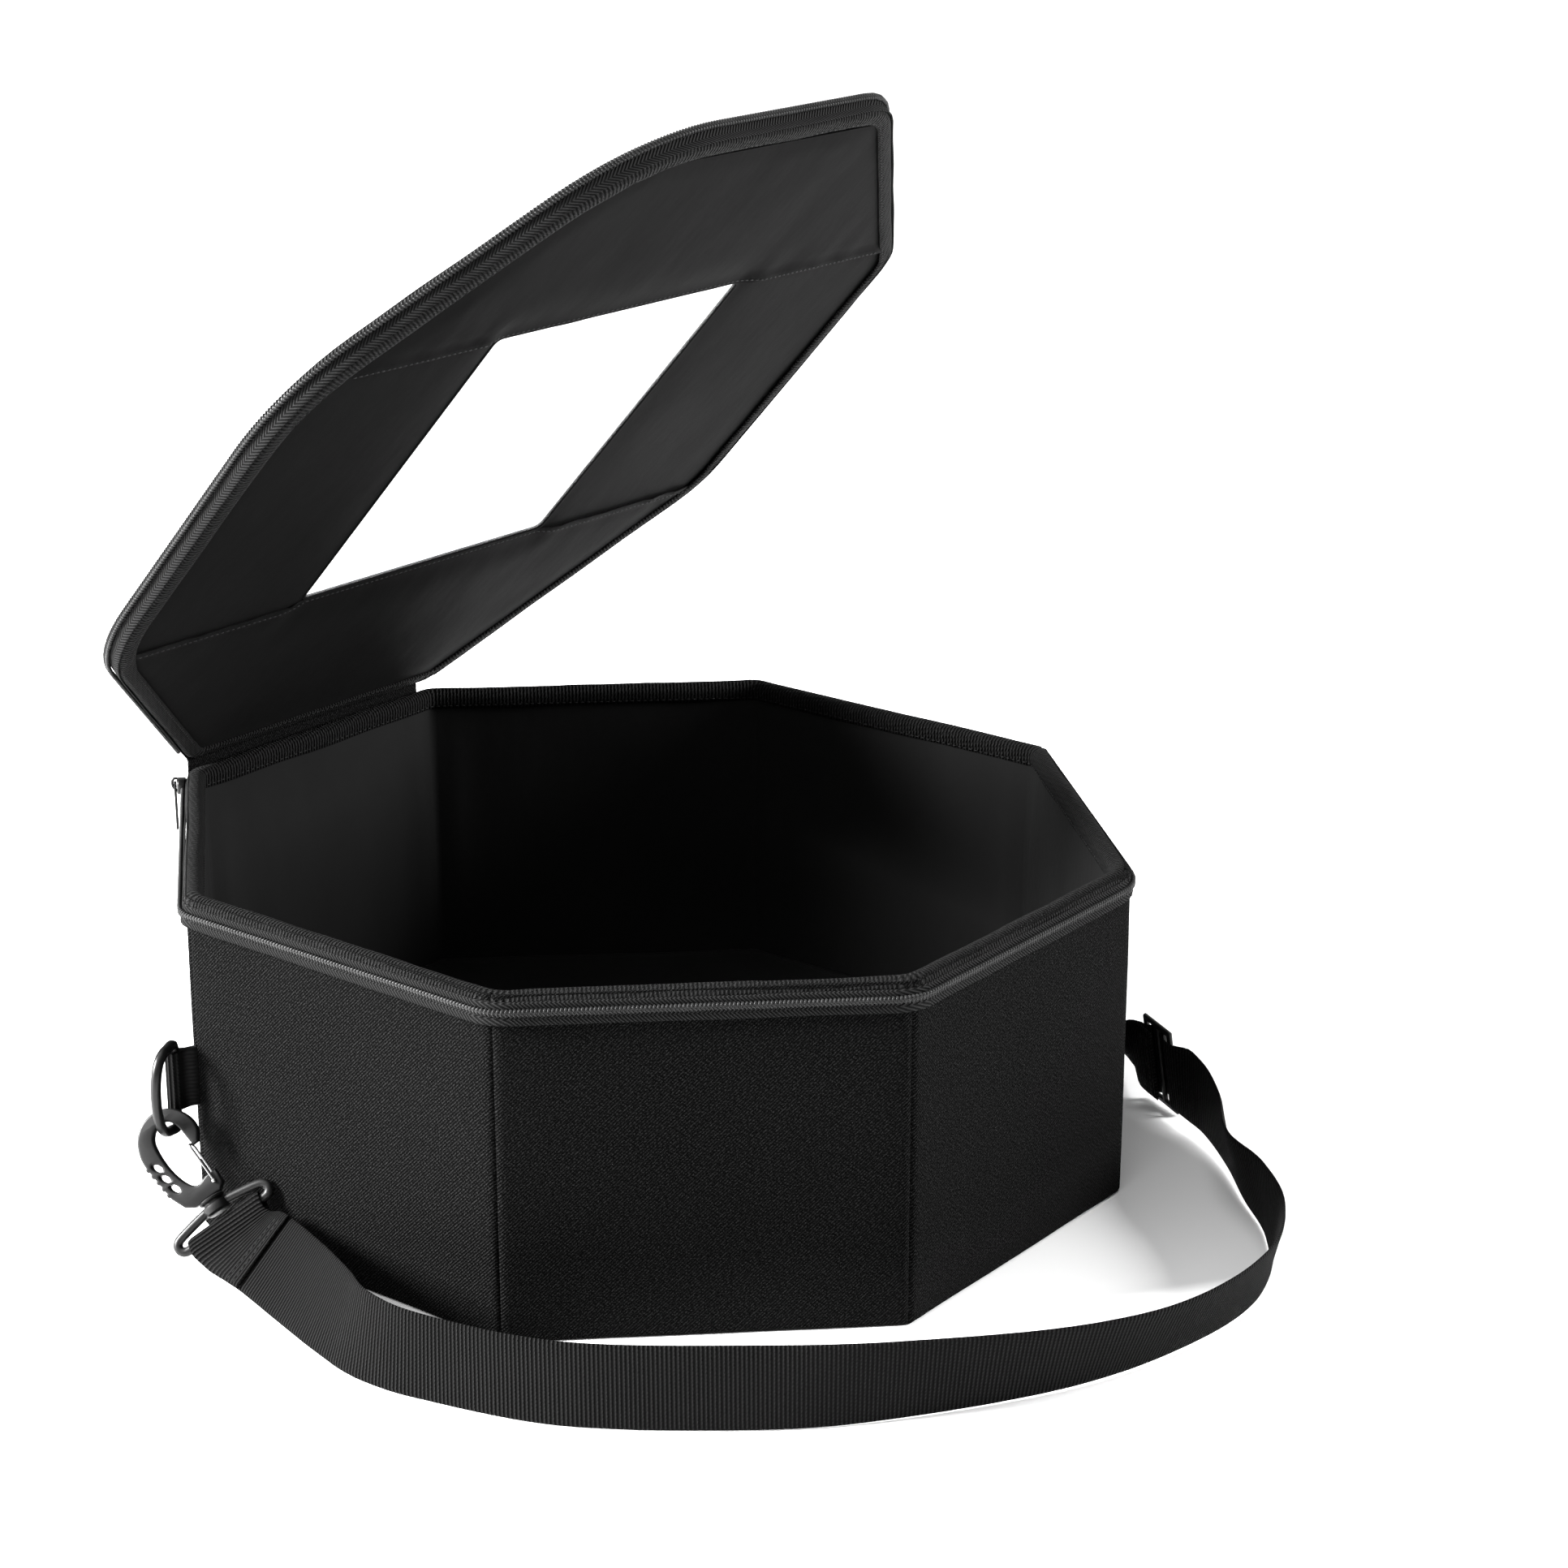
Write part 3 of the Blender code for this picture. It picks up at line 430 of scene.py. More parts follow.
def octagon(distance):
    """The rim's inner edge moved outwards, with the outward direction of the side after each corner."""
    half = (BOX_WIDTH / 2, BOX_DEPTH / 2)
    flat, side = HINGE_FLAT / 2, SIDE_FLAT / 2
    points = [Vector(p) for p in (
        (-half[0], -side), (-flat, -half[1]), (flat, -half[1]), (half[0], -side),
        (half[0], side), (flat, half[1]), (-flat, half[1]), (-half[0], side),
    )]
    normals = []
    for i, point in enumerate(points):
        way = (points[(i + 1) % 8] - point).normalized()
        normals.append(Vector((way.y, -way.x)))
    corners = []
    for i, point in enumerate(points):
        mitre = (normals[i - 1] + normals[i]).normalized()
        corners.append(point + mitre * (distance / mitre.dot(normals[i])))
    return corners, normals


def rim_places(distance, closed=True, rounds=None, pulls=None, step=STEP):
    """Points and outward directions round the box, its corners turned on radii and its sides pulled in."""
    corners, normals = octagon(0)
    rounds = rounds or BOX_ROUNDS
    pulls = pulls or NO_PULLS
    order = list(range(8)) if closed else [6, 7, 0, 1, 2, 3, 4, 5]
    bends = []
    for n, i in enumerate(order):
        first, last = normals[i - 1], normals[i]
        first_by, last_by = distance - pulls[i - 1], distance - pulls[i]
        across = first.x * last.y - first.y * last.x
        shift = Vector((first_by * last.y - last_by * first.y, first.x * last_by - last.x * first_by)) / across
        corner = corners[i] + shift
        if not closed and n in (0, 7):
            bends.append([(corner, last if n == 0 else first)])
            continue
        radius = max(rounds[i] + distance, 0.0008)
        centre = corner - (first + last) / (1 + first.dot(last)) * radius
        turn = first.angle(last)
        count = max(4, round(turn * radius / step))
        outs = [(first * math.sin(turn * (1 - k / count)) + last * math.sin(turn * k / count)).normalized()
                for k in range(count + 1)]
        bends.append([(centre + out * radius, out) for out in outs])
    places = []
    for n, bend in enumerate(bends):
        places += bend
        if not closed and n == 7:
            break
        here, there = bend[-1][0], bends[(n + 1) % 8][0][0]
        count = max(1, round((there - here).length / step))
        places += [(here.lerp(there, k / count), normals[order[n]]) for k in range(1, count)]
    return places


def stations(places, height, closed, shift_y=0.0):
    """Turns rim places into frames for a sweep: origin, outward, upward and length so far."""
    up = Vector((0, 0, 1))
    made = []
    length = 0.0
    before = None
    for point, out in places:
        here = Vector((point.x, point.y - shift_y, height))
        if before is not None:
            length += (here - before).length
        before = here
        made.append((here, Vector((out.x, out.y, 0)), up, length))
    return made


def sweep(name, frames, profile, finish, carrier, closed, turn=None, shape=None):
    """Carries a closed profile (outward, upward) along frames. shape(length, i) may move its points."""
    body = bmesh.new()
    layer = body.loops.layers.uv.new("cloth")
    rings = []
    for here, out, up, length in frames:
        ring = []
        for i, (a, b) in enumerate(profile):
            da, db = shape(here, length, i) if shape else (0.0, 0.0)
            ring.append(body.verts.new(here + out * (a + da) + up * (b + db)))
        rings.append(ring)
    girth = [0.0]
    for (a, b), (c, d) in zip(profile, profile[1:] + profile[:1]):
        girth.append(girth[-1] + math.hypot(c - a, d - b))
    lengths = [f[3] for f in frames]
    count = len(rings)
    size = len(profile)
    spans = count if closed else count - 1
    for k in range(spans):
        one, two = rings[k], rings[(k + 1) % count]
        u0 = lengths[k]
        if k + 1 < count:
            u1 = lengths[k + 1]
        else:
            u1 = u0 + (frames[0][0] - frames[-1][0]).length
        for i in range(size):
            j = (i + 1) % size
            face = body.faces.new((one[i], one[j], two[j], two[i]))
            for loop, uv in zip(face.loops, ((u0, girth[i]), (u0, girth[i + 1]), (u1, girth[i + 1]), (u1, girth[i]))):
                loop[layer].uv = uv
    if not closed:
        for ring in (rings[0][::-1], rings[-1]):
            face = body.faces.new(ring)
            for loop, (a, b) in zip(face.loops, profile):
                loop[layer].uv = (a, b)
    return add_piece(name, body, finish, carrier, turn)


def ripple(here, scale, amount, seed=0.0):
    return amount * noise.noise(Vector((here.x * scale, here.y * scale, here.z * scale + seed)))


def strung(name, bead, places, finish, carrier, turn=None):
    """One small closed shape copied to each place, all in one mesh."""
    body = bmesh.new()
    for place in places:
        before = len(body.verts)
        body.from_mesh(bead)
        body.verts.ensure_lookup_table()
        bmesh.ops.transform(body, matrix=place, verts=body.verts[before:])
    return add_piece(name, body, finish, carrier, turn)


def bead_mesh(name, size, segments, rings):
    """A small rounded bead, longer one way, as a mesh to be copied."""
    bpy.ops.object.select_all(action="DESELECT")
    bpy.ops.mesh.primitive_uv_sphere_add(segments=segments, ring_count=rings, radius=0.5)
    bead = bpy.context.active_object
    bead.scale = size
    bpy.ops.object.transform_apply(location=False, rotation=False, scale=True)
    mesh = bead.data
    mesh.name = name
    bpy.data.objects.remove(bead)
    return mesh


STITCH_BEAD = bead_mesh("stitch", (0.0026, 0.0006, 0.0005), 6, 5)
TOOTH_BEAD = bead_mesh("tooth", (0.0013, 0.0024, 0.0025), 8, 5)


def along(frames, pitch, closed):
    """Even places along frames: origin, outward, upward and the direction of travel."""
    places = []
    reach = 0.0
    pairs = list(zip(frames, frames[1:] + (frames[:1] if closed else [])))
    for one, two in pairs:
        span = (two[0] - one[0]).length
        if span < 1e-7:
            continue
        way = (two[0] - one[0]).normalized()
        while reach < span:
            share = reach / span
            places.append((one[0].lerp(two[0], share), one[1].lerp(two[1], share).normalized(), one[2], way))
            reach += pitch
        reach -= span
    return places


def stitch_row(name, frames, carrier, closed, turn=None, pitch=STITCH, lift=0.0):
    """A row of machine stitches. Its frames' outward direction is the way that the cloth faces."""
    places = []
    for here, out, _, way in along(frames, pitch, closed):
        side = out.cross(way).normalized()
        facing = way.cross(side).normalized()
        turned = Matrix((way, side, facing)).transposed().to_4x4()
        turned.translation = here + out * lift
        places.append(turned)
    return strung(name, STITCH_BEAD, places, THREAD, carrier, turn)


def arc_points(cx, cy, radius, start, end, count):
    turns = [math.radians(start + (end - start) * k / (count - 1)) for k in range(count)]
    return [(cx + radius * math.cos(t), cy + radius * math.sin(t)) for t in turns]


# Padded walls

def wall_panel(index, name, node):
    """A foam-filled cloth panel: softly crowned, rolled over at its seams and its bottom edge."""
    outer, normals = octagon(WALL_OUT)
    inner, _ = octagon(WALL_IN)
    start, end = outer[index], outer[(index + 1) % 8]
    inner_start, inner_end = inner[index], inner[(index + 1) % 8]
    out = normals[index]
    way = (end - start).normalized()
    width = (end - start).length
    seam = 0.0036
    edge = [0, 0.0003, 0.0009, 0.0018, 0.003, 0.0048, 0.008, 0.014, 0.024]
    middle = [0.036 + (width - 0.072) * k / 10 for k in range(11)]
    us = edge + middle + [width - e for e in reversed(edge)]
    height = WALL_TOP
    vs = edge + [0.036 + (height - 0.060) * k / 9 for k in range(10)] + [height - 0.014, height - 0.004, height]
    body = bmesh.new()
    layer = body.loops.layers.uv.new("cloth")

    def drop(distance, radius):
        if distance >= radius:
            return 0.0
        return radius - math.sqrt(max(radius ** 2 - (radius - distance) ** 2, 0.0))

    def crown(distance, reach):
        return 1 - math.exp(-distance / reach)

    fronts, backs = [], []
    for v in vs:
        front, back = [], []
        for u in us:
            side = min(u, width - u)
            fade = min(max((height - v - 0.016) / 0.03, 0.0), 1.0)
            puff = 0.0011 * crown(side, 0.016) * crown(v, 0.012) * fade
            roll = max(drop(side, seam), drop(v, 0.0022))
            flat = start + way * u
            here = Vector((flat.x, flat.y, v))
            puff += ripple(here, 26, 0.0004, index * 3.7) * crown(side, 0.01) * fade
            spread = min(roll * 0.12, 0.0004)
            here += Vector((out.x, out.y, 0)) * (puff - roll)
            here += Vector((way.x, way.y, 0)) * (spread if u < width / 2 else -spread)
            front.append(body.verts.new(here))
            share = u / width
            low = inner_start.lerp(inner_end, share)
            back.append(body.verts.new((low.x, low.y, min(max(v, 0.0016), height))))
        fronts.append(front)
        backs.append(back)
    rows, columns = len(vs), len(us)

    def quad(corners, uvs):
        face = body.faces.new(corners)
        for loop, uv in zip(face.loops, uvs):
            loop[layer].uv = uv

    for r in range(rows - 1):
        for c in range(columns - 1):
            uvs = [(us[c], vs[r]), (us[c + 1], vs[r]), (us[c + 1], vs[r + 1]), (us[c], vs[r + 1])]
            quad((fronts[r][c], fronts[r][c + 1], fronts[r + 1][c + 1], fronts[r + 1][c]), uvs)
            quad((backs[r][c + 1], backs[r][c], backs[r + 1][c], backs[r + 1][c + 1]), uvs)
    for r in range(rows - 1):
        for c in (0, columns - 1):
            uvs = [(us[c], vs[r]), (us[c] + 0.005, vs[r]), (us[c] + 0.005, vs[r + 1]), (us[c], vs[r + 1])]
            quad((fronts[r][c], backs[r][c], backs[r + 1][c], fronts[r + 1][c]), uvs)
    for c in range(columns - 1):
        for r in (0, rows - 1):
            uvs = [(us[c], vs[r]), (us[c + 1], vs[r]), (us[c + 1], vs[r] + 0.005), (us[c], vs[r] + 0.005)]
            quad((fronts[r][c], fronts[r][c + 1], backs[r][c + 1], backs[r][c]), uvs)
    panel = add_piece(name, body, CLOTH, "box")
    hold(panel, 50)
    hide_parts(node)
    return panel


WALLS = [
    "wall_front_left", "wall_front", "wall_front_right", "wall_right",
    "wall_back_right", "wall_back", "wall_back_left", "wall_left",
]


def build_walls():
    for index, node in enumerate(WALLS):
        wall_panel(index, node + "_pad", node)


def merged_copy(name, node, finish, carrier, bevel=0.0, segments=2, degrees=40):
    """A node's own shape, its loose triangles welded, its edges eased."""
    body = bmesh.new()
    body.from_mesh(NODES[node].data)
    bmesh.ops.remove_doubles(body, verts=body.verts, dist=0.000008)
    bmesh.ops.dissolve_limit(
        body, angle_limit=math.radians(1.0), verts=body.verts, edges=body.edges
    )
    piece = add_piece(name, body, finish, carrier)
    if bevel:
        pick(piece)
        soft = piece.modifiers.new("soft", "BEVEL")
        soft.width = bevel
        soft.segments = segments
        soft.limit_method = "ANGLE"
        soft.angle_limit = math.radians(degrees)
        soft.use_clamp_overlap = True
        bpy.ops.object.modifier_apply(modifier="soft")
    hold(piece, degrees)
    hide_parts(node)
    return piece


def flat_map(piece, scale=1.0):
    """Lays the cloth map straight down on a flat piece."""
    mesh = piece.data
    layer = mesh.uv_layers.new(name="cloth")
    for loop in mesh.loops:
        co = mesh.vertices[loop.vertex_index].co
        layer.data[loop.index].uv = (co.x * scale, co.y * scale)
    return piece


def build_floor_board():
    board = merged_copy("floor_board", "floor_panel", CLOTH, "box", 0.0012, 3)
    flat_map(board)


def build_lining():
    """Nylon lining that hangs a little loose on the walls, gathered at the corners."""
    corners, _ = octagon(0)

    def fold(here, length, i):
        near = min((Vector((here.x, here.y)) - c).length for c in corners)
        tall = (here_height(i) - FLOOR) / (BOX_HEIGHT - FLOOR)
        tall = min(max(tall, 0.0), 1.0)
        loose = math.sin(math.pi * min(tall * 1.05, 1.0))
        gather = math.exp(-(near / 0.016) ** 2)
        pleat = math.exp(-((near - 0.011) / 0.004) ** 2)
        swell = ripple(Vector((here.x, here.y, here_height(i))), 17, 0.0022)
        drop = -0.0008 - loose * (0.0009 + swell + pleat * 0.0016) - gather * loose * 0.0012
        return (min(drop, -0.0003) + 0.0008, 0.0)

    levels = [0.0076, 0.009, 0.012, 0.018, 0.03, 0.045, 0.06, 0.075, 0.09, 0.105, 0.12, 0.135, 0.146, 0.154, 0.160, 0.164]
    thick = 0.0006
    profile = [(0.0, z) for z in levels] + [(thick, z) for z in reversed(levels)]

    def here_height(i):
        return profile[i][1]

    frames = stations(rim_places(LINING_IN, step=0.006), 0.0, True)
    sides = sweep("lining_sides", frames, profile, BOX_SATIN_PAINTED_LIGHTER, "box", True, None, fold)

    body = bmesh.new()
    layer = body.loops.layers.uv.new("cloth")
    shares = [1.0, 0.992, 0.98, 0.96, 0.92, 0.86, 0.78, 0.68, 0.56, 0.44, 0.32, 0.2, 0.1]
    rim = rim_places(-0.0006, step=0.012)
    sheets = []
    for level in (0.0, thick):
        rings = []
        for share in shares:
            ring = []
            for point, _ in rim:
                x, y = point.x * share, point.y * share
                edge = 0.0026 * math.exp(-((1 - share) / 0.018))
                lift = ripple(Vector((x, y, 0)), 11, 0.0012) + ripple(Vector((x, y, 3)), 37, 0.0005)
                ring.append(body.verts.new((x, y, FLOOR + 0.0021 + edge + max(lift, -0.001) - level)))
            rings.append(ring)
        centre = body.verts.new((0, 0, FLOOR + 0.0021 - level))
        sheets.append((rings, centre))
    count = len(rim)

    def face(corners):
        made = body.faces.new(corners)
        for loop in made.loops:
            loop[layer].uv = (loop.vert.co.x, loop.vert.co.y)

    for rings, centre in sheets:
        for a, b in zip(rings, rings[1:]):
            for k in range(count):
                n = (k + 1) % count
                face((a[k], a[n], b[n], b[k]))
        for k in range(count):
            face((rings[-1][k], rings[-1][(k + 1) % count], centre))
    top, low = sheets[0][0][0], sheets[1][0][0]
    for k in range(count):
        n = (k + 1) % count
        face((low[k], low[n], top[n], top[k]))
    base = add_piece("lining_floor", body, BOX_SATIN_PAINTED_LIGHTER, "box")
    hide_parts("lining")
    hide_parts("lining")


def build_rim_tape():
    """Ribbed tape folded over the wall tops like a full, slightly uneven roll, with its row of stitches."""
    outer = [(0.0002, -0.0100), (0.0000, -0.0072), (-0.0002, -0.0056)]
    outer += arc_points(0.0044, -0.0046, 0.0046, 176, 92, 8)
    outer += arc_points(0.0044, -0.0046, 0.0046, 84, 4, 8)
    outer += [(0.0088, -0.0058)]
    inner = [(0.0080, -0.0058)]
    inner += arc_points(0.0044, -0.0046, 0.0036, 4, 84, 5)
    inner += arc_points(0.0044, -0.0046, 0.0036, 92, 176, 5)
    inner += [(0.0011, -0.0072), (0.0011, -0.0100)]

    def soft(here, length, i):
        sway = ripple(here, 22, 0.0009, 5.0) + ripple(here, 70, 0.0003)
        return ripple(here, 28, 0.0007), min(sway, 0.0003) - 0.0003

    frames = stations(rim_places(0.0), RIM_TOP, True)
    tape = sweep("rim_tape", frames, outer + inner, RIBBON, "box", True, None, soft)
    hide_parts("rim_binding")
    inside = [(h, -o, u, l) for h, o, u, l in stations(rim_places(-0.0001), RIM_TOP - 0.0088, True)]
    stitch_row("rim_stitches", inside, "box", True)


def tape_profile(near, far, low, high):
    """A thin tape on edge, its ends rounded."""
    middle = (near + far) / 2
    steps = [low + (high - low) * k / 6 for k in range(7)]
    side = [(far, z) for z in steps]
    other = [(near, z) for z in reversed(steps)]
    return [(middle, low - 0.0002)] + side + [(middle, high + 0.0002)] + other


def zip_chain(name, distance, height, carrier, turn, shift_y, node):
    """The zip's coil: two rows of slanted glossy turns that meet like chevrons, on a thin core."""
    rounds, pulls = (LID_ROUNDS, LID_PULLS) if shift_y else (None, None)
    frames = stations(rim_places(distance, False, rounds, pulls), height, False, shift_y)
    places = []
    for row in (1, -1):
        slant = Matrix.Translation((0, 0, 0.0008 * row)) @ Matrix.Rotation(math.radians(28 * row), 4, "Y")
        for here, out, up, way in along(frames, TOOTH_PITCH, False):
            turned = Matrix((way, out, up)).transposed().to_4x4()
            turned.translation = here
            places.append(turned @ slant)
    chain = strung(name, TOOTH_BEAD, places, COIL, carrier, turn)
    core = [(math.cos(t) * 0.0007, math.sin(t) * 0.0014) for t in [2 * math.pi * k / 8 for k in range(8)]]
    middle = sweep(name + "_core", frames, core, COIL, carrier, False, turn)
    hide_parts(node)


def build_box_zip():
    near = WALL_OUT + GAP
    tape_high = RIM_TOP - 0.004 - GAP

    def soft(here, length, i):
        return ripple(here, 40, 0.0004) + 0.0001, ripple(here, 18, 0.0006, 2.0)

    frames = stations(rim_places(0.0, False), 0.0, False)
    profile = tape_profile(near + 0.0002, near + 0.0010, tape_high - 0.010, tape_high)
    profile = [(a + 0.0016 * (tape_high - b) / 0.010, b) for a, b in profile]
    tape = sweep("box_tape", frames, profile, TAPE, "box", False, None, soft)
    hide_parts("box_zip_tape")
    coil_height = tape_high - 0.0042
    zip_chain("box_coil", near + 0.0027, coil_height, "box", None, 0.0, "box_zip_coil")


def build_lid():
    """The lid's foam board in cloth outside and satin inside, round its window."""
    rim = rim_places(RIM_OUT - BINDING - GAP, True, LID_ROUNDS, LID_PULLS, 0.010)
    outline = [Vector((p.x, p.y - AXIS_Y)) for p, _ in rim]
    middle = Vector((0, (WINDOW_NEAR + WINDOW_FAR) / 2))
    half = Vector((WINDOW_SIDE, (WINDOW_NEAR - WINDOW_FAR) / 2))

    def on_window(point, grow=0.0):
        away = point - middle
        reach = max(abs(away.x) / (half.x + grow), abs(away.y) / (half.y + grow))
        return middle + away / reach

    corners = [middle + Vector((sx * half.x, sy * half.y)) for sx, sy in ((1, 1), (1, -1), (-1, 1), (-1, -1))]
    targets = [on_window(p) for p in outline]
    for corner in corners:
        nearest = min(range(len(targets)), key=lambda k: (targets[k] - corner).length)
        targets[nearest] = corner.copy()
    shares = [0, 0.01, 0.03, 0.07, 0.14, 0.25, 0.4, 0.55, 0.7, 0.84, 0.93, 0.975, 0.992, 1.0]
    body = bmesh.new()
    layer = body.loops.layers.uv.new("cloth")

    def height(share, outside, x, y):
        edge = min(share, 1 - share)
        puff = (1 - math.exp(-edge / 0.06)) * 0.0007
        wave = ripple(Vector((x, y, 9 if outside else 4)), 15, 0.0008) * (1 - math.exp(-edge / 0.08))
        pinch = math.exp(-((1 - share) / 0.10) ** 2)
        if outside:
            full = LID_HIGH - 0.0012 + puff + wave * 0.4
            return full + (PANE + 0.0008 - full) * pinch
        full = LID_LOW + 0.0012 - puff - wave * 0.5
        return full + (PANE - 0.0008 - full) * pinch

    faces_of = []
    for outside in (True, False):
        rings = []
        for share in shares:
            ring = []
            for start, end in zip(outline, targets):
                point = start.lerp(end, share)
                z = height(share, outside, point.x, point.y)
                ring.append(body.verts.new((point.x, point.y, z)))
            rings.append(ring)
        faces_of.append(rings)
    count = len(outline)

    def face(corners, material):
        made = body.faces.new(corners)
        made.material_index = material
        for loop in made.loops:
            loop[layer].uv = (loop.vert.co.x, loop.vert.co.y)

    for material, rings in enumerate(faces_of):
        for a, b in zip(rings, rings[1:]):
            for k in range(count):
                n = (k + 1) % count
                face((a[k], a[n], b[n], b[k]), material)
    for which in (0, -1):
        a, b = faces_of[0][which], faces_of[1][which]
        for k in range(count):
            n = (k + 1) % count
            face((a[k], a[n], b[n], b[k]), 1)
    pad = add_piece("lid_pad", body, [CLOTH, LID_SATIN_PAINTED_DARKER], "lid", LID)
    hold(pad, 50)
    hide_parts("lid_panel_back", "lid_panel_front", "lid_panel_left", "lid_panel_right")
    build_lid_flap("lid_flap_near", -0.0105, WINDOW_NEAR)
    build_lid_flap("lid_flap_far", WINDOW_FAR, -0.4465)
    build_window_hem()


def lid_span(y, inset):
    """The lid's left and right edge at a distance from the hinge, less an inset."""
    points = [Vector((p.x, p.y - AXIS_Y)) for p, _ in rim_places(RIM_OUT - inset, True, LID_ROUNDS, LID_PULLS)]
    found = []
    for a, b in zip(points, points[1:] + points[:1]):
        if (a.y - y) * (b.y - y) <= 0 and abs(a.y - b.y) > 1e-6:
            found.append(a.x + (b.x - a.x) * (y - a.y) / (b.y - a.y))
    return min(found), max(found)


def build_lid_flap(name, near, far):
    """A panel of lining sewn over the lid's inside, with a turned and stitched edge at the window."""
    hem_at = far if near > -0.1 else near
    body = bmesh.new()
    layer = body.loops.layers.uv.new("cloth")
    rows = 26
    columns = 60
    grid = []
    for side in (0, 1):
        sheet = []
        for r in range(rows + 1):
            share = r / rows
            eased = share * share * (3 - 2 * share)
            y = near + (far - near) * (0.35 * share + 0.65 * eased)
            left, right = lid_span(y, 0.0065)
            row = []
            for c in range(columns + 1):
                x = left + (right - left) * c / columns
                away = abs(y - hem_at)
                hem = 0.0009 * math.exp(-(max(away - 0.0035, 0) / 0.0012) ** 2)
                pucker = 0.0010 * math.exp(-away / 0.014) * noise.noise(Vector((x * 95, y * 30, 7)))
                wave = ripple(Vector((x, y, 2)), 11, 0.0010) + ripple(Vector((x, y, 12)), 34, 0.0003)
                border = min(1.0, (x - left) / 0.02, (right - x) / 0.02, (abs(y - near) + 0.002) / 0.012, (abs(y - far) + 0.002) / 0.012)
                z = LID_LOW + 0.0001 - 0.0007 * max(border, 0.0) - hem - pucker - wave * max(border, 0.0)
                over_pane = min(max((WINDOW_SIDE + 0.010 - abs(x)) / 0.010, 0.0), 1.0)
                sunk = math.exp(-(away / 0.016) ** 2) * over_pane * over_pane * (3 - 2 * over_pane)
                z += (PANE - 0.0012 - z) * sunk
                bend = 0.0006 * noise.noise(Vector((x * 40, 3, 1))) if away < 0.006 else 0.0
                row.append(body.verts.new((x, y + bend, z + 0.0006 * side)))
            sheet.append(row)
        grid.append(sheet)

    def face(corners):
        made = body.faces.new(corners)
        for loop in made.loops:
            loop[layer].uv = (loop.vert.co.x, loop.vert.co.y)

    for sheet in grid:
        for r in range(rows):
            for c in range(columns):
                face((sheet[r][c], sheet[r][c + 1], sheet[r + 1][c + 1], sheet[r + 1][c]))
    under, over = grid
    for r in range(rows):
        for c in (0, columns):
            face((under[r][c], over[r][c], over[r + 1][c], under[r + 1][c]))
    for c in range(columns):
        for r in (0, rows):
            face((under[r][c], under[r][c + 1], over[r][c + 1], over[r][c]))
    flap = add_piece(name, body, LID_SATIN_PAINTED_DARKER, "lid", LID)
    hold(flap, 60)
    wide = max(lid_span(hem_at, 0.0065)[1] - lid_span(hem_at, 0.0065)[0], 0.18)
    deep = abs(far - near)
    edge = lid_span(near if hem_at == far else far, 0.0065)
    narrow = edge[1] - edge[0]
    (wide + narrow) / 2 * deep
    inward = 0.0022 if hem_at == far else -0.0022
    y = hem_at + inward
    left, right = lid_span(y, 0.010)
    row = []
    for k in range(41):
        x = left + (right - left) * k / 40
        over = min(max((WINDOW_SIDE + 0.010 - abs(x)) / 0.010, 0.0), 1.0)
        sunk = over * over * (3 - 2 * over)
        level = LID_LOW - 0.0017
        level += (PANE - 0.0013 - level) * sunk
        row.append((Vector((x, y, level)), Vector((0, 0, -1)), Vector((0, 1, 0)), 0.0))
    stitch_row(name + "_stitches", row, "lid", False, LID)


def build_window_hem():
    """Narrow piping that holds the clear sheet's edge."""
    x, near, far, turn = WINDOW_SIDE, WINDOW_NEAR, WINDOW_FAR, 0.004
    path = []
    for cx, cy, first in ((x - turn, near - turn, 90), (x - turn, far + turn, 0), (-x + turn, far + turn, -90),
                          (-x + turn, near - turn, -180)):
        path += [Vector(p) for p in arc_points(cx, cy, turn, first, first - 90, 4)]
    middle = Vector((0, (near + far) / 2))
    frames = []
    length = 0.0
    for k, point in enumerate(path):
        before, after = path[k - 1], path[(k + 1) % len(path)]
        way = (after - before).normalized()
        out = Vector((-way.y, way.x))
        if out.dot(point - middle) < 0:
            out = -out
        if k:
            length += (point - path[k - 1]).length
        frames.append((Vector((point.x, point.y, 0)), Vector((out.x, out.y, 0)), Vector((0, 0, 1)), length))
    low, high = PANE - 0.0011, PANE + 0.0011
    profile = [(0.0012, low), (-0.0002, low), (-0.0007, PANE), (-0.0002, high), (0.0012, high)]
    hem = sweep("window_hem", frames, profile, LID_SATIN_PAINTED_DARKER, "lid", True, LID)
    hold(hem, 50)


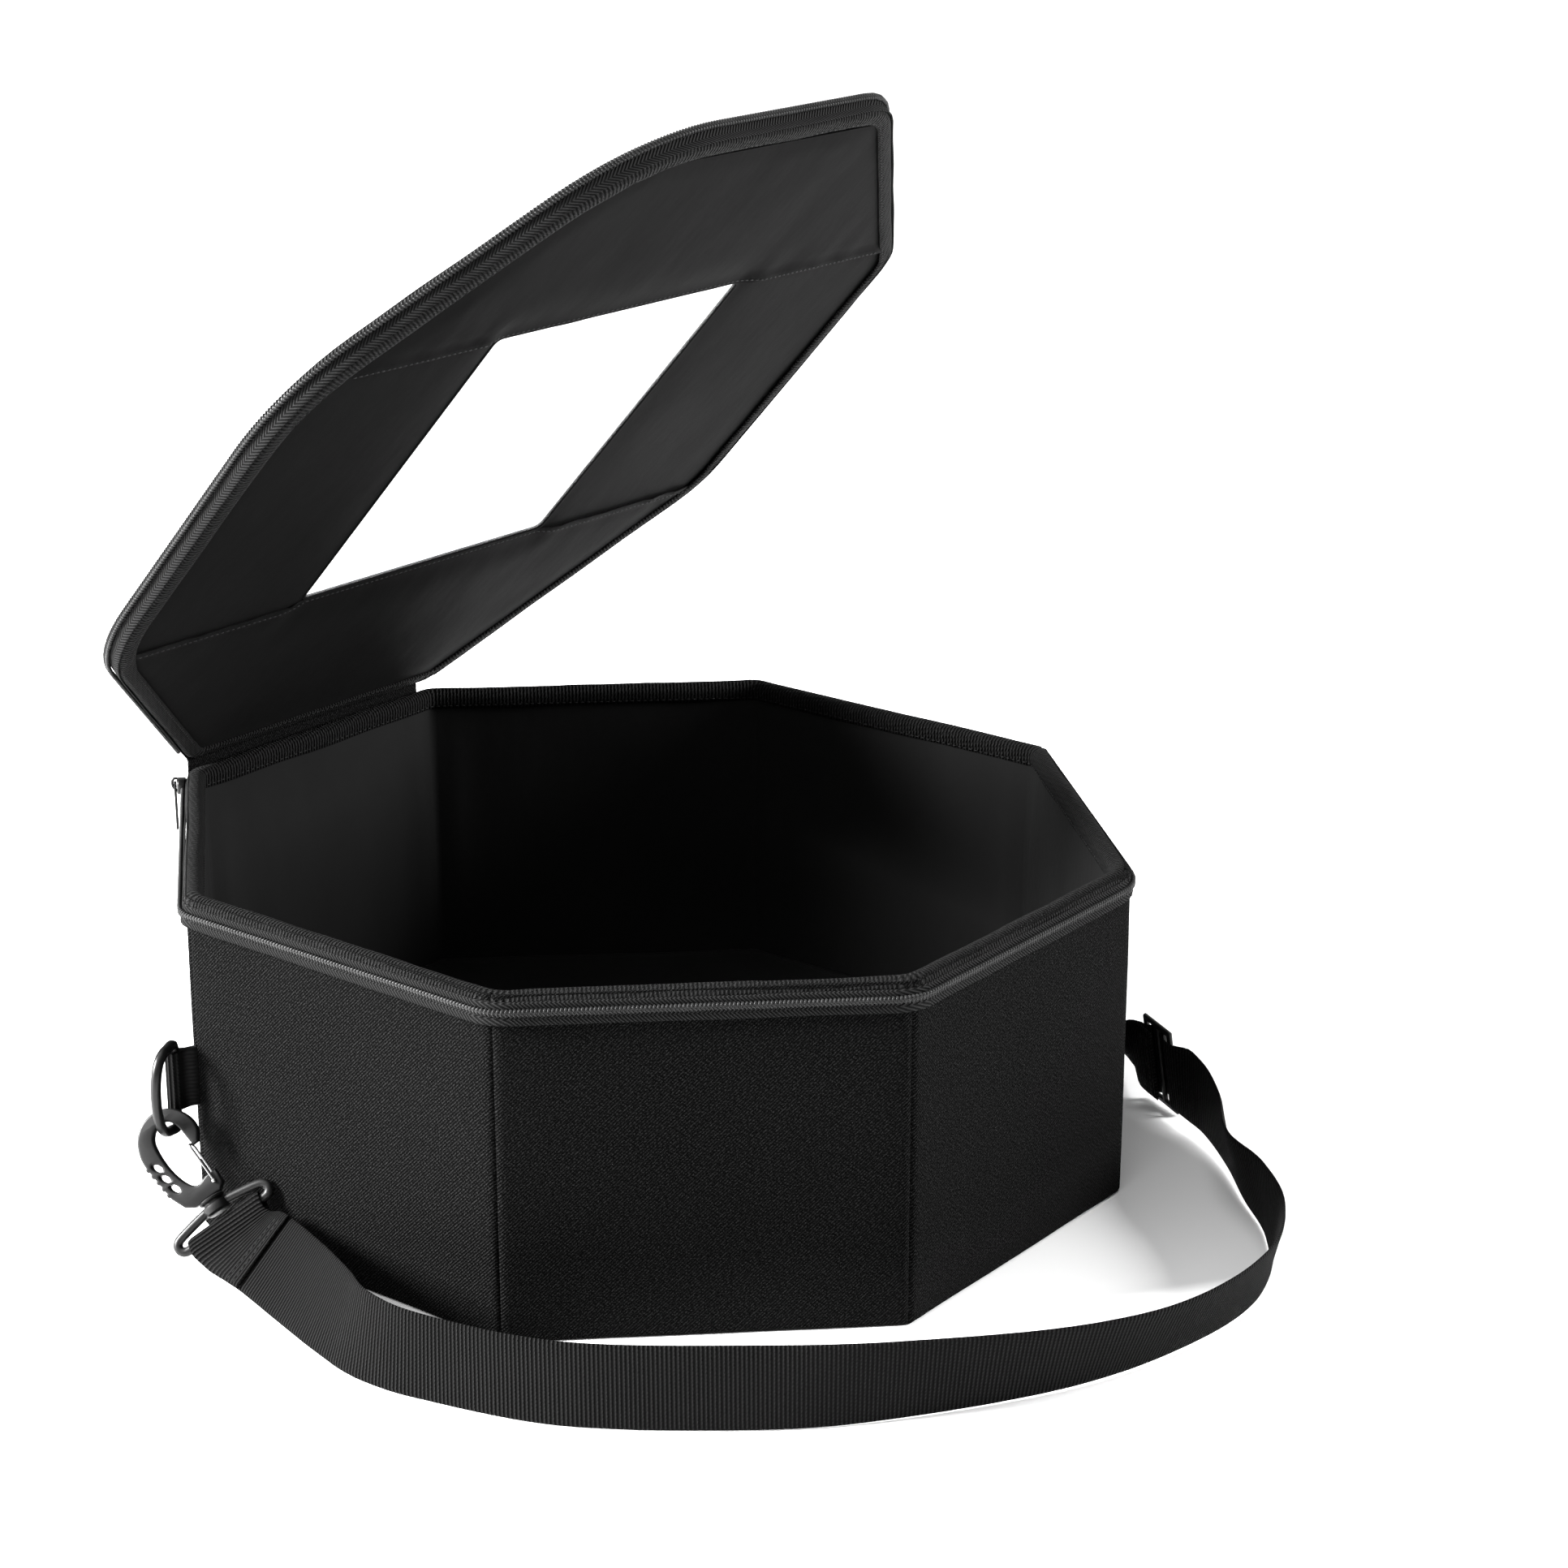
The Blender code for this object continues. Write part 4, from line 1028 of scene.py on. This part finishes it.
def build_lid_tapes():
    """The ribbed tape round the lid's edge and the zip tape that stands on its rim."""
    outer = [(0.0094 - 0.0082, 0.0004), (0.0040, -0.0001), (0.0072, 0.0)]
    outer += arc_points(0.0069, 0.0026, 0.0026, -80, -5, 5)
    outer += [(0.0096, LID_TOP / 2)]
    outer += arc_points(0.0069, LID_TOP - 0.0026, 0.0026, 5, 80, 5)
    outer += [(0.0072, LID_TOP), (0.0040, LID_TOP), (0.0012, LID_TOP - 0.0004)]
    inner = [(0.0012, LID_TOP - 0.0013), (0.0066, LID_TOP - 0.0011), (0.0083, LID_TOP - 0.0028),
             (0.0083, 0.0028), (0.0066, 0.0011), (0.0012, 0.0013)]

    corners, _ = octagon(0)
    puckers = [Vector((corners[i].x, corners[i].y - AXIS_Y, 0)) for i in range(8)]

    def soft(here, length, i):
        near = min((here - p).length for p in puckers)
        crumple = math.exp(-(near / 0.022) ** 2)
        lift = crumple * 0.0011 * noise.noise(Vector((length * 130, i * 0.4, 2)))
        return ripple(here, 50, 0.0004) + lift, ripple(here, 30, 0.0004, 8.0) + lift * 0.7

    frames = stations(rim_places(0.0, True, LID_ROUNDS, LID_PULLS), 0.0, True, AXIS_Y)
    tape = sweep("lid_tape", frames, outer + inner, RIBBON, "lid", True, LID, soft)
    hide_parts("lid_binding")
    for name, height, facing in (("lid_stitches_in", 0.0002, -1), ("lid_stitches_out", LID_TOP + 0.0001, 1)):
        row = [(h, Vector((0, 0, facing)), u, l)
               for h, o, u, l in stations(rim_places(0.0026, True, LID_ROUNDS, LID_PULLS), height, True, AXIS_Y)]
        stitch_row(name, row, "lid", True, LID)

    def wave(here, length, i):
        return ripple(here, 30, 0.0006), ripple(here, 16, 0.0008, 1.0)

    near = RIM_OUT + GAP
    frames = stations(rim_places(0.0, False, LID_ROUNDS, LID_PULLS), 0.0, False, AXIS_Y)
    profile = tape_profile(near, near + 0.0008, BINDING, BINDING + 0.010)
    tape = sweep("lid_zip_band", frames, profile, TAPE, "lid", False, LID, wave)
    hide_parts("lid_zip_tape")
    coil_height = BINDING + 0.010 - 0.0008 - 0.0015
    zip_chain("lid_coil", near + 0.0008 + GAP + 0.0009, coil_height, "lid", LID, AXIS_Y, "lid_zip_coil")


def build_hinge_cloth():
    """One folded strip of cloth from the back wall to the lid's edge, bending on the hinge line."""
    turned = Matrix.Rotation(-LID_OPEN, 3, "X")
    path = [Vector((0, 0.0001, -0.0300 + 0.0263 * k / 6)) for k in range(7)]
    path += [Vector((0, 0.0000, -0.0022)), Vector((0, 0.0001, -0.0008))]
    lid_side = [Vector((0, -0.0009, 0.0008)), Vector((0, -0.0014, 0.0024)), Vector((0, -0.0016, 0.0045)),
                Vector((0, -0.0016, LID_TOP - 0.0004))]
    path += [turned @ p for p in lid_side]
    body = bmesh.new()
    layer = body.loops.layers.uv.new("cloth")
    half = HINGE_FLAT / 2
    columns = 34
    rings = []
    thick = 0.0005
    lengths = [0.0]
    for a, b in zip(path, path[1:]):
        lengths.append(lengths[-1] + (b - a).length)
    for k, point in enumerate(path):
        way = (path[min(k + 1, len(path) - 1)] - path[max(k - 1, 0)]).normalized()
        out = Vector((0, way.z, -way.y))
        row = []
        for side in (thick, -thick):
            for c in range(columns + 1):
                x = -half + 2 * half * c / columns
                here = Vector((x, AXIS_Y, AXIS_Z)) + point
                sway = ripple(here, 45, 0.0003)
                row.append(body.verts.new(here + out * (side + sway)))
        rings.append(row)
    wide = columns + 1

    def face(corners, uvs):
        made = body.faces.new(corners)
        for loop, uv in zip(made.loops, uvs):
            loop[layer].uv = uv

    for k in range(len(rings) - 1):
        a, b = rings[k], rings[k + 1]
        for c in range(columns):
            uvs = [(c * 0.005, lengths[k]), (c * 0.005 + 0.005, lengths[k]),
                   (c * 0.005 + 0.005, lengths[k + 1]), (c * 0.005, lengths[k + 1])]
            face((a[c], a[c + 1], b[c + 1], b[c]), uvs)
            face((a[wide + c], a[wide + c + 1], b[wide + c + 1], b[wide + c]), uvs)
        for c in (0, columns):
            uvs = [(0, lengths[k]), (0.001, lengths[k]), (0.001, lengths[k + 1]), (0, lengths[k + 1])]
            face((a[c], a[wide + c], b[wide + c], b[c]), uvs)
    for row in (rings[0], rings[-1]):
        for c in range(columns):
            uvs = [(c * 0.005, 0), (c * 0.005 + 0.005, 0), (c * 0.005 + 0.005, 0.001), (c * 0.005, 0.001)]
            face((row[c], row[c + 1], row[wide + c + 1], row[wide + c]), uvs)
    cloth = add_piece("hinge_cloth", body, CLOTH, None)
    hold(cloth, 50)
    end = turned @ Vector((0, -0.0014, 0.0030))
    AXIS_Y + end.y
    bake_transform(cloth)
    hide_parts("hinge_strip_lower", "hinge_strip_upper")
    for name, level in (("hinge_stitches_low", -0.0275), ("hinge_stitches_high", -0.0070)):
        row = [(Vector((x, AXIS_Y + 0.0007, AXIS_Z + level)), Vector((0, 1, 0)), Vector((0, 0, 1)), 0.0)
               for x in (-half + 0.004, half - 0.004)]
        stitch_row(name, row, "box", False)


# Hooks, rings and strap

RING = {"tall": 0.0452, "deep": 0.022, "wire": 0.0045, "swing": math.radians(39.6), "share": 0.66}
HOOK = {"long": 0.048, "wide": 0.0305, "deep": 0.005, "lean": math.radians(46), "turn": math.radians(51)}
LOOP = {"wire": 0.0045, "drop": 0.0095, "half": 0.040 / 2 + 0.003 + 0.0045 / 2, "collar": 0.0065}
TAB = {"low": 0.063, "wide": 0.029, "reach": 0.010, "cloth": 0.0015}


# The hook's outline: shares of its width to the gate's side and of its length down
HOOK_OUTER = [
    (0.32, 0.48), (0.42, 0.375), (0.42, 0.25), (0.32, 0.115), (0.15, 0.025), (-0.08, 0.0),
    (-0.295, 0.04), (-0.46, 0.135), (-0.557, 0.28), (-0.574, 0.40),
]
HOOK_BACK = [(-0.50, 0.80), (-0.40, 0.94), (-0.26, 1.0), (0.20, 1.0), (0.31, 0.94), (0.31, 0.80)]
HOOK_INNER = [
    (0.13, 0.80), (-0.065, 0.83), (-0.197, 0.73), (-0.272, 0.5625), (-0.289, 0.396), (-0.262, 0.25),
    (-0.17, 0.167), (-0.033, 0.13), (0.098, 0.156), (0.18, 0.25), (0.207, 0.375), (0.223, 0.48),
]
HOOK_SLOTS = [(-0.425, 0.47), (-0.41, 0.60), (-0.365, 0.73)]


def corner_places(corner, towards, mirror):
    """Where the tab, ring and hook of one corner sit, as matrices."""
    rim, _ = octagon(WALL_OUT + GAP)
    inside, _ = octagon(0)
    out = (rim[corner] - inside[corner]).normalized()
    angle = math.atan2(out.y, out.x)
    bar = rim[corner] + out * TAB["reach"]
    half = (RING["tall"] - RING["wire"]) / 2
    tab = Matrix.Translation((bar.x, bar.y, TAB["low"])) @ Matrix.Rotation(angle, 4, "Z")
    swung = Matrix.Rotation(angle + RING["swing"] * mirror, 4, "Z")
    level = TAB["low"] + TAB["wide"] + 2 * GAP + RING["wire"] / 2 - half
    ring = Matrix.Translation((bar.x, bar.y, level)) @ swung
    reach = (RING["deep"] - RING["wire"]) * RING["share"]
    low = half * math.sqrt(1 - RING["share"] ** 4)
    bearing = ring @ Vector((reach, 0, -low))
    lean_way = inside[towards] - inside[corner]
    facing = math.atan2(lean_way.y, lean_way.x) + math.pi / 2
    leaned = Matrix.Rotation(facing, 4, "Z") @ Matrix.Rotation(-HOOK["lean"], 4, "X")
    turned = leaned @ Matrix.Rotation(-mirror * HOOK["turn"], 4, "Z")
    drop = Vector((-0.033 * HOOK["wide"], 0, -0.13 * HOOK["long"])) - Vector((0, 0, RING["wire"] / 2 + 0.0015))
    hook = Matrix.Translation(bearing) @ turned @ Matrix.Translation(-drop)
    return tab, ring, hook


def wire(name, points, thickness, finish, carrier, closed, turn, sides=14):
    """A round wire through points, its bends smoothed."""
    smooth = []
    count = len(points)
    for k in range(count if closed else count - 1):
        quad = [points[(k + d) % count] if closed else points[min(max(k + d, 0), count - 1)] for d in (-1, 0, 1, 2)]
        for t in (0.0, 0.25, 0.5, 0.75):
            smooth.append(curve_point(*quad, t))
    if not closed:
        smooth.append(points[-1])
    frames = []
    length = 0.0
    side = Vector((0, 1, 0))
    for k, here in enumerate(smooth):
        after = smooth[(k + 1) % len(smooth)] if closed or k + 1 < len(smooth) else here
        before = smooth[k - 1] if closed or k > 0 else here
        way = (after - before).normalized()
        out = side - way * side.dot(way)
        if out.length < 0.2:
            out = Vector((0, 0, 1)) - way * way.z
        out.normalize()
        if k:
            length += (here - smooth[k - 1]).length
        frames.append((here, out, way.cross(out), length))
        side = out
    radius = thickness / 2
    profile = [(radius * math.cos(a), radius * math.sin(a)) for a in [2 * math.pi * k / sides for k in range(sides)]]
    return sweep(name, frames, profile, finish, carrier, closed, turn)


def curve_point(a, b, c, d, t):
    square = (2 * a - 5 * b + 4 * c - d) * t ** 2
    cube = (3 * b - a - 3 * c + d) * t ** 3
    return 0.5 * (2 * b + (c - a) * t + square + cube)


def build_tab(side, place):
    """Webbing folded round the ring's bar and sewn into the corner seam."""
    hole = RING["wire"] / 2 + GAP
    outer = hole + TAB["cloth"]
    reach = TAB["reach"]
    fold_out = arc_points(0, 0, outer, -106, 106, 15)
    fold_in = arc_points(0, 0, hole, 106, -106, 15)
    profile = fold_out + [(-reach * 0.62, 0.0017), (-reach - 0.0012, 0.0016), (-reach - 0.0012, -0.0016), (-reach * 0.62, -0.0017)]
    body = bmesh.new()
    layer = body.loops.layers.uv.new("cloth")
    levels = [0.0, 0.0004] + [0.0012 + 0.0266 * k / 10 for k in range(11)] + [0.0286, 0.029]
    ends = {0: 0.78, 1: 0.94, len(levels) - 2: 0.94, len(levels) - 1: 0.78}
    loops = []
    for shape in (profile,):
        rings = []
        for k, z in enumerate(levels):
            thin = ends.get(k, 1.0)
            ring = []
            for x, y in shape:
                away = math.hypot(x, y)
                if x > -0.001 and away > 0:
                    middle = hole + TAB["cloth"] / 2
                    factor = (middle + (away - middle) * thin) / away
                    ring.append(body.verts.new((x * factor, y * factor, z)))
                else:
                    ring.append(body.verts.new((x, y * thin, z)))
            rings.append(ring)
        loops.append(rings)
    rings = loops[0]
    size = len(profile)
    for k in range(len(levels) - 1):
        for i in range(size):
            j = (i + 1) % size
            face = body.faces.new((rings[k][i], rings[k][j], rings[k + 1][j], rings[k + 1][i]))
            for loop, uv in zip(face.loops, ((i * 0.0009, levels[k]), (i * 0.0009 + 0.0009, levels[k]),
                                             (i * 0.0009 + 0.0009, levels[k + 1]), (i * 0.0009, levels[k + 1]))):
                loop[layer].uv = uv
    body.faces.new(rings[0][::-1])
    body.faces.new(rings[-1])
    hole_maker = fold_in
    tab = add_piece("tab_" + side, body, WEB, "box", place)
    hold(tab, 50)
    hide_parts("ring_tab_" + side)
    return hole_maker


def build_corner(side, corner, towards, mirror):
    tab_place, ring_place, hook_place = corner_places(corner, towards, mirror)
    build_tab(side, tab_place)
    half = (RING["tall"] - RING["wire"]) / 2
    deep = RING["deep"] - RING["wire"]
    turns = [-math.pi / 2 + math.pi * k / 24 for k in range(25)]
    points = [Vector((deep * math.sqrt(abs(math.cos(a))), 0, half * math.sin(a))) for a in turns]
    points += [Vector((0, 0, half * k)) for k in (0.6, 0.2, -0.2, -0.6)]
    ring = wire("d_ring_" + side, points, RING["wire"] + 0.0004, METAL, "box", True, ring_place, 16)
    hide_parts("ring_" + side)

    build_hook(side, hook_place)

    top = -HOOK["long"] - GAP - LOOP["wire"]
    bar = top - LOOP["drop"]
    half, corner_by, neck = LOOP["half"], LOOP["wire"], LOOP["collar"]
    right = [(neck * 0.3, top), (neck, top), (half - corner_by * 1.2, bar + corner_by * 1.6),
             (half - corner_by * 0.25, bar + corner_by * 1.25), (half, bar + corner_by * 0.65),
             (half - corner_by * 0.3, bar + corner_by * 0.15), (half - corner_by, bar), (half * 0.4, bar)]
    points = [Vector((x, 0, z)) for x, z in right] + [Vector((-x, 0, z)) for x, z in right[::-1]]
    loop = wire("loop_" + side, points, LOOP["wire"], PLASTIC, "box", True, hook_place, 16)
    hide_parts("strap_loop_" + side)
    build_collar(side, hook_place, top)
    build_gate(side, hook_place)


def smooth_line(points):
    line = []
    last = len(points) - 1
    for k in range(last):
        quad = [Vector(points[min(max(k + d, 0), last)]) for d in (-1, 0, 1, 2)]
        line += [curve_point(*quad, t) for t in (0.0, 0.25, 0.5, 0.75)]
    return line + [Vector(points[last])]


def build_hook(side, place):
    """The moulded hook: a rounded arm with ridges down its back, three slanting slots and a crook."""
    first, last = Vector(HOOK_OUTER[-1]), Vector(HOOK_BACK[0])
    ridges = []
    for k in range(5):
        for part, height in ((0.10, 0.0), (0.30, 0.026), (0.60, 0.026), (0.80, 0.0)):
            spot = first.lerp(last, (k + part) / 5)
            ridges.append(Vector((spot.x - height, spot.y)))
    outline = smooth_line(HOOK_OUTER) + ridges + [Vector(p) for p in HOOK_BACK] + smooth_line(HOOK_INNER)
    loops = [[(p.x * HOOK["wide"], -p.y * HOOK["long"]) for p in outline]]
    turned = Matrix.Rotation(-math.radians(60), 2)
    for x, y in HOOK_SLOTS:
        middle = Vector((x * HOOK["wide"], -y * HOOK["long"]))
        ring = [(0.0029 * math.cos(a), 0.0015 * math.sin(a)) for a in [math.pi * k / 8 for k in range(16)]]
        loops.append([tuple(middle + turned @ Vector(p)) for p in reversed(ring)])
    curve = bpy.data.curves.new("hook_outline", "CURVE")
    curve.dimensions = "2D"
    curve.fill_mode = "BOTH"
    edge = 0.0011
    curve.extrude = HOOK["deep"] / 2 - edge
    curve.bevel_depth = edge
    curve.bevel_resolution = 3
    curve.offset = -edge
    for loop in loops:
        spline = curve.splines.new("POLY")
        spline.points.add(len(loop) - 1)
        for point, (x, y) in zip(spline.points, loop):
            point.co = (x, y, 0, 1)
        spline.use_cyclic_u = True
    guide = bpy.data.objects.new("hook_outline", curve)
    bpy.context.scene.collection.objects.link(guide)
    graph = bpy.context.evaluated_depsgraph_get()
    mesh = bpy.data.meshes.new_from_object(guide.evaluated_get(graph))
    bpy.data.objects.remove(guide, do_unlink=True)
    body = bmesh.new()
    body.from_mesh(mesh)
    bmesh.ops.remove_doubles(body, verts=body.verts, dist=0.000004)
    hook = add_piece("hook_" + side, body, PLASTIC, "box", place @ Matrix.Rotation(math.pi / 2, 4, "X"))
    hold(hook, 50)
    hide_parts("snap_hook_" + side)


def build_collar(side, place, top):
    """The swivel under the hook: a turned collar with a waist."""
    profile = [(0.0, -0.0030), (0.0052, -0.0030), (0.0062, -0.0022), (0.0065, -0.0005), (0.0062, 0.0012),
               (0.0050, 0.0020), (0.0048, 0.0028), (0.0062, 0.0034), (0.0065, 0.0040), (0.0060, 0.0045), (0.0, 0.0045)]
    body = bmesh.new()
    count = 28
    rings = []
    for radius, z in profile:
        if radius == 0:
            rings.append([body.verts.new((0, 0, top + z))])
            continue
        rings.append([
            body.verts.new((radius * math.cos(2 * math.pi * k / count), radius * math.sin(2 * math.pi * k / count), top + z))
            for k in range(count)
        ])
    for a, b in zip(rings, rings[1:]):
        for k in range(count):
            n = (k + 1) % count
            if len(a) == 1:
                body.faces.new((a[0], b[k], b[n]))
            elif len(b) == 1:
                body.faces.new((a[k], b[0], a[n]))
            else:
                body.faces.new((a[k], b[k], b[n], a[n]))
    collar = add_piece("collar_" + side, body, PLASTIC, "box", place)
    hold(collar, 40)


def build_gate(side, place):
    """The spring gate: a bright wire bent into a loop, its bend at the nose and both ends on a riveted pin."""
    pivot = Vector((0.215 * HOOK["wide"], 0, -0.895 * HOOK["long"]))
    nose = Vector((0.223 * HOOK["wide"], 0, -0.465 * HOOK["long"]))
    beside = HOOK["deep"] / 2 + GAP + 0.0008
    tip = nose.x - GAP - 0.0008
    points = [
        Vector((pivot.x, -beside, pivot.z)), Vector((pivot.x * 0.9 + tip * 0.1, -beside, pivot.z + 0.003)),
        Vector((tip * 0.7 + pivot.x * 0.3, -beside, nose.z - 0.004)), Vector((tip, -beside * 0.9, nose.z - 0.0005)),
        Vector((tip, 0, nose.z + 0.0003)), Vector((tip, beside * 0.9, nose.z - 0.0005)),
        Vector((tip * 0.7 + pivot.x * 0.3, beside, nose.z - 0.004)),
        Vector((pivot.x * 0.9 + tip * 0.1, beside, pivot.z + 0.003)), Vector((pivot.x, beside, pivot.z)),
    ]
    gate = wire("gate_wire_" + side, points, 0.0012, STEEL, "gate_" + side, False, place, 12)
    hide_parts("gate_" + side)
    pin = wire("gate_pin_" + side, [pivot + Vector((0, y, 0)) for y in (-0.0044, -0.0042, 0.0042, 0.0044)],
               0.0020, STEEL, "box", False, place, 14)


def strap_rings():
    """The strap's cross-sections, read from the frame's own band from its left end to its right."""
    body = bmesh.new()
    body.from_mesh(NODES["strap"].data)
    bmesh.ops.remove_doubles(body, verts=body.verts, dist=0.00001)
    ends = []
    for face in body.faces:
        sides = sorted(edge.calc_length() for edge in face.edges)
        if len(sides) == 3 and sides[0] < 0.0025 and sides[1] > 0.0385 and sides[2] > 0.0385:
            ends.append(face)
    ends.sort(key=lambda f: f.calc_center_median().x)
    first = ends[0]
    ring = set(first.verts)
    for face in ends:
        if face is not first and len(set(face.verts) & ring) >= 2:
            ring |= set(face.verts)
    seen = set(ring)
    rings = []
    while ring:
        rings.append([v.co.copy() for v in ring])
        following = set()
        for vert in ring:
            for edge in vert.link_edges:
                other = edge.other_vert(vert)
                if other not in seen:
                    following.add(other)
        seen |= following
        ring = following
    body.free()
    sections = []
    width_before, out_before = Vector((0, 0, 1)), None
    for points in rings:
        if len(points) != 4:
            continue
        points = sorted(points, key=lambda p: (round(p.x, 7), round(p.y, 7), round(p.z, 7)))
        mate = min(points[1:], key=lambda p: (p - points[0]).length)
        pair = [points[0], mate]
        rest = [p for p in points if p is not points[0] and p is not mate]
        middle = sum(points, Vector()) / 4
        width = (sum(rest, Vector()) / 2 - sum(pair, Vector()) / 2).normalized()
        if width.dot(width_before) < 0:
            width = -width
        out = (pair[1] - pair[0]).normalized()
        if out_before is not None and out.dot(out_before) < 0:
            out = -out
        sections.append((middle, width, out))
        width_before, out_before = width, out
    return sections


def build_strap():
    """The webbing band, its selvedges thinner than its middle."""
    sections = strap_rings()
    frames = []
    length = 0.0
    last = len(sections) - 1
    for k in range(last):
        quads = [sections[min(max(k + d, 0), last)] for d in (-1, 0, 1, 2)]
        for t in (0.0, 0.33, 0.67):
            here = curve_point(*[q[0] for q in quads], t)
            width = curve_point(*[q[1] for q in quads], t).normalized()
            out = curve_point(*[q[2] for q in quads], t)
            out = (out - width * out.dot(width)).normalized()
            if frames:
                length += (here - frames[-1][0]).length
            frames.append((here, width, out, length))
    here, width, out = sections[last]
    length += (here - frames[-1][0]).length
    frames.append((here, width, out, length))
    half, thick = 0.020, 0.0008
    side = [(half, 0.0), (half - 0.0003, 0.4 * thick), (half - 0.0011, 0.72 * thick), (half - 0.0022, thick),
            (half * 0.5, thick), (0.0, thick)]
    profile = side + [(-a, b) for a, b in side[-2::-1]] + [(-a, -b) for a, b in side[1:]] + [(a, -b) for a, b in side[-2:0:-1]]

    def shape(here, length, i):
        return 0.0, 0.00012 * noise.noise(Vector((length * 60, i * 0.5, 0)))

    band = sweep("webbing_strap", frames, profile, WEB, "box", False, None, shape)
    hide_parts("strap")
    for name, at in (("one", 0.0030), ("two", 0.0062), ("three", length - 0.0040), ("four", length - 0.0072)):
        here, width, out, _ = min(frames, key=lambda f: abs(f[3] - at))
        for sign in (1, -1):
            row = [(here + width * a, out * sign, width, 0.0) for a in (-0.0175, 0.0175)]
            face = "strap_stitches_" + name + ("_up" if sign > 0 else "_down")
            stitch_row(face, row, "box", False, None, 0.0032, thick + 0.0001)
    buckle = merged_copy("length_adjuster", "strap_buckle", PLASTIC, "box", 0.0004, 3, 30)


def build_zip_slider():
    """The slider and its pull keep the frame's shapes, with softened edges and a bridge for the pull."""
    for name, node in (("slider_body", "zip_slider"), ("slider_pull", "zip_pull")):
        piece = merged_copy(name, node, METAL, "box", 0.0003, 3, 30)
    corners, normals = octagon(WALL_OUT + GAP + 0.0008 + GAP)
    way = (corners[7] - corners[6]).normalized()
    out = normals[6]
    middle = corners[6] + way * 0.0055
    level = RIM_TOP - 0.004 - GAP - 0.0016 - 0.0015
    place = Matrix((way.to_3d(), Vector((0, 0, 1)), way.to_3d().cross(Vector((0, 0, 1))))).transposed().to_4x4()
    place.translation = Vector((middle.x, middle.y, level))
    points = [Vector(p) for p in ((0, -0.0030, 0.0042), (0, -0.0012, 0.0062), (0, 0.0012, 0.0068), (0, 0.0034, 0.0062), (0, 0.0038, 0.0042))]
    bridge = wire("slider_bridge", points, 0.0014, METAL, "box", False, place, 10)


def build_stage():
    bpy.ops.object.select_all(action="DESELECT")
    bpy.ops.mesh.primitive_plane_add(size=12, location=(0, 0, -0.0002))
    floor = bpy.context.active_object
    floor.name = "studio_ground"
    bpy.ops.object.transform_apply(location=True, rotation=True, scale=True)
    floor.data.materials.append(studio_floor())


def main():
    place_camera()
    light_studio()
    build_stage()
    build_walls()
    build_floor_board()
    build_rim_tape()
    build_lining()
    build_box_zip()
    build_zip_slider()
    build_lid()
    build_lid_tapes()
    build_hinge_cloth()
    build_corner("left", 7, 0, 1)
    build_corner("right", 3, 2, -1)
    build_strap()
    NODES["window_pane"].material_slots[0].material = CLEAR


main()
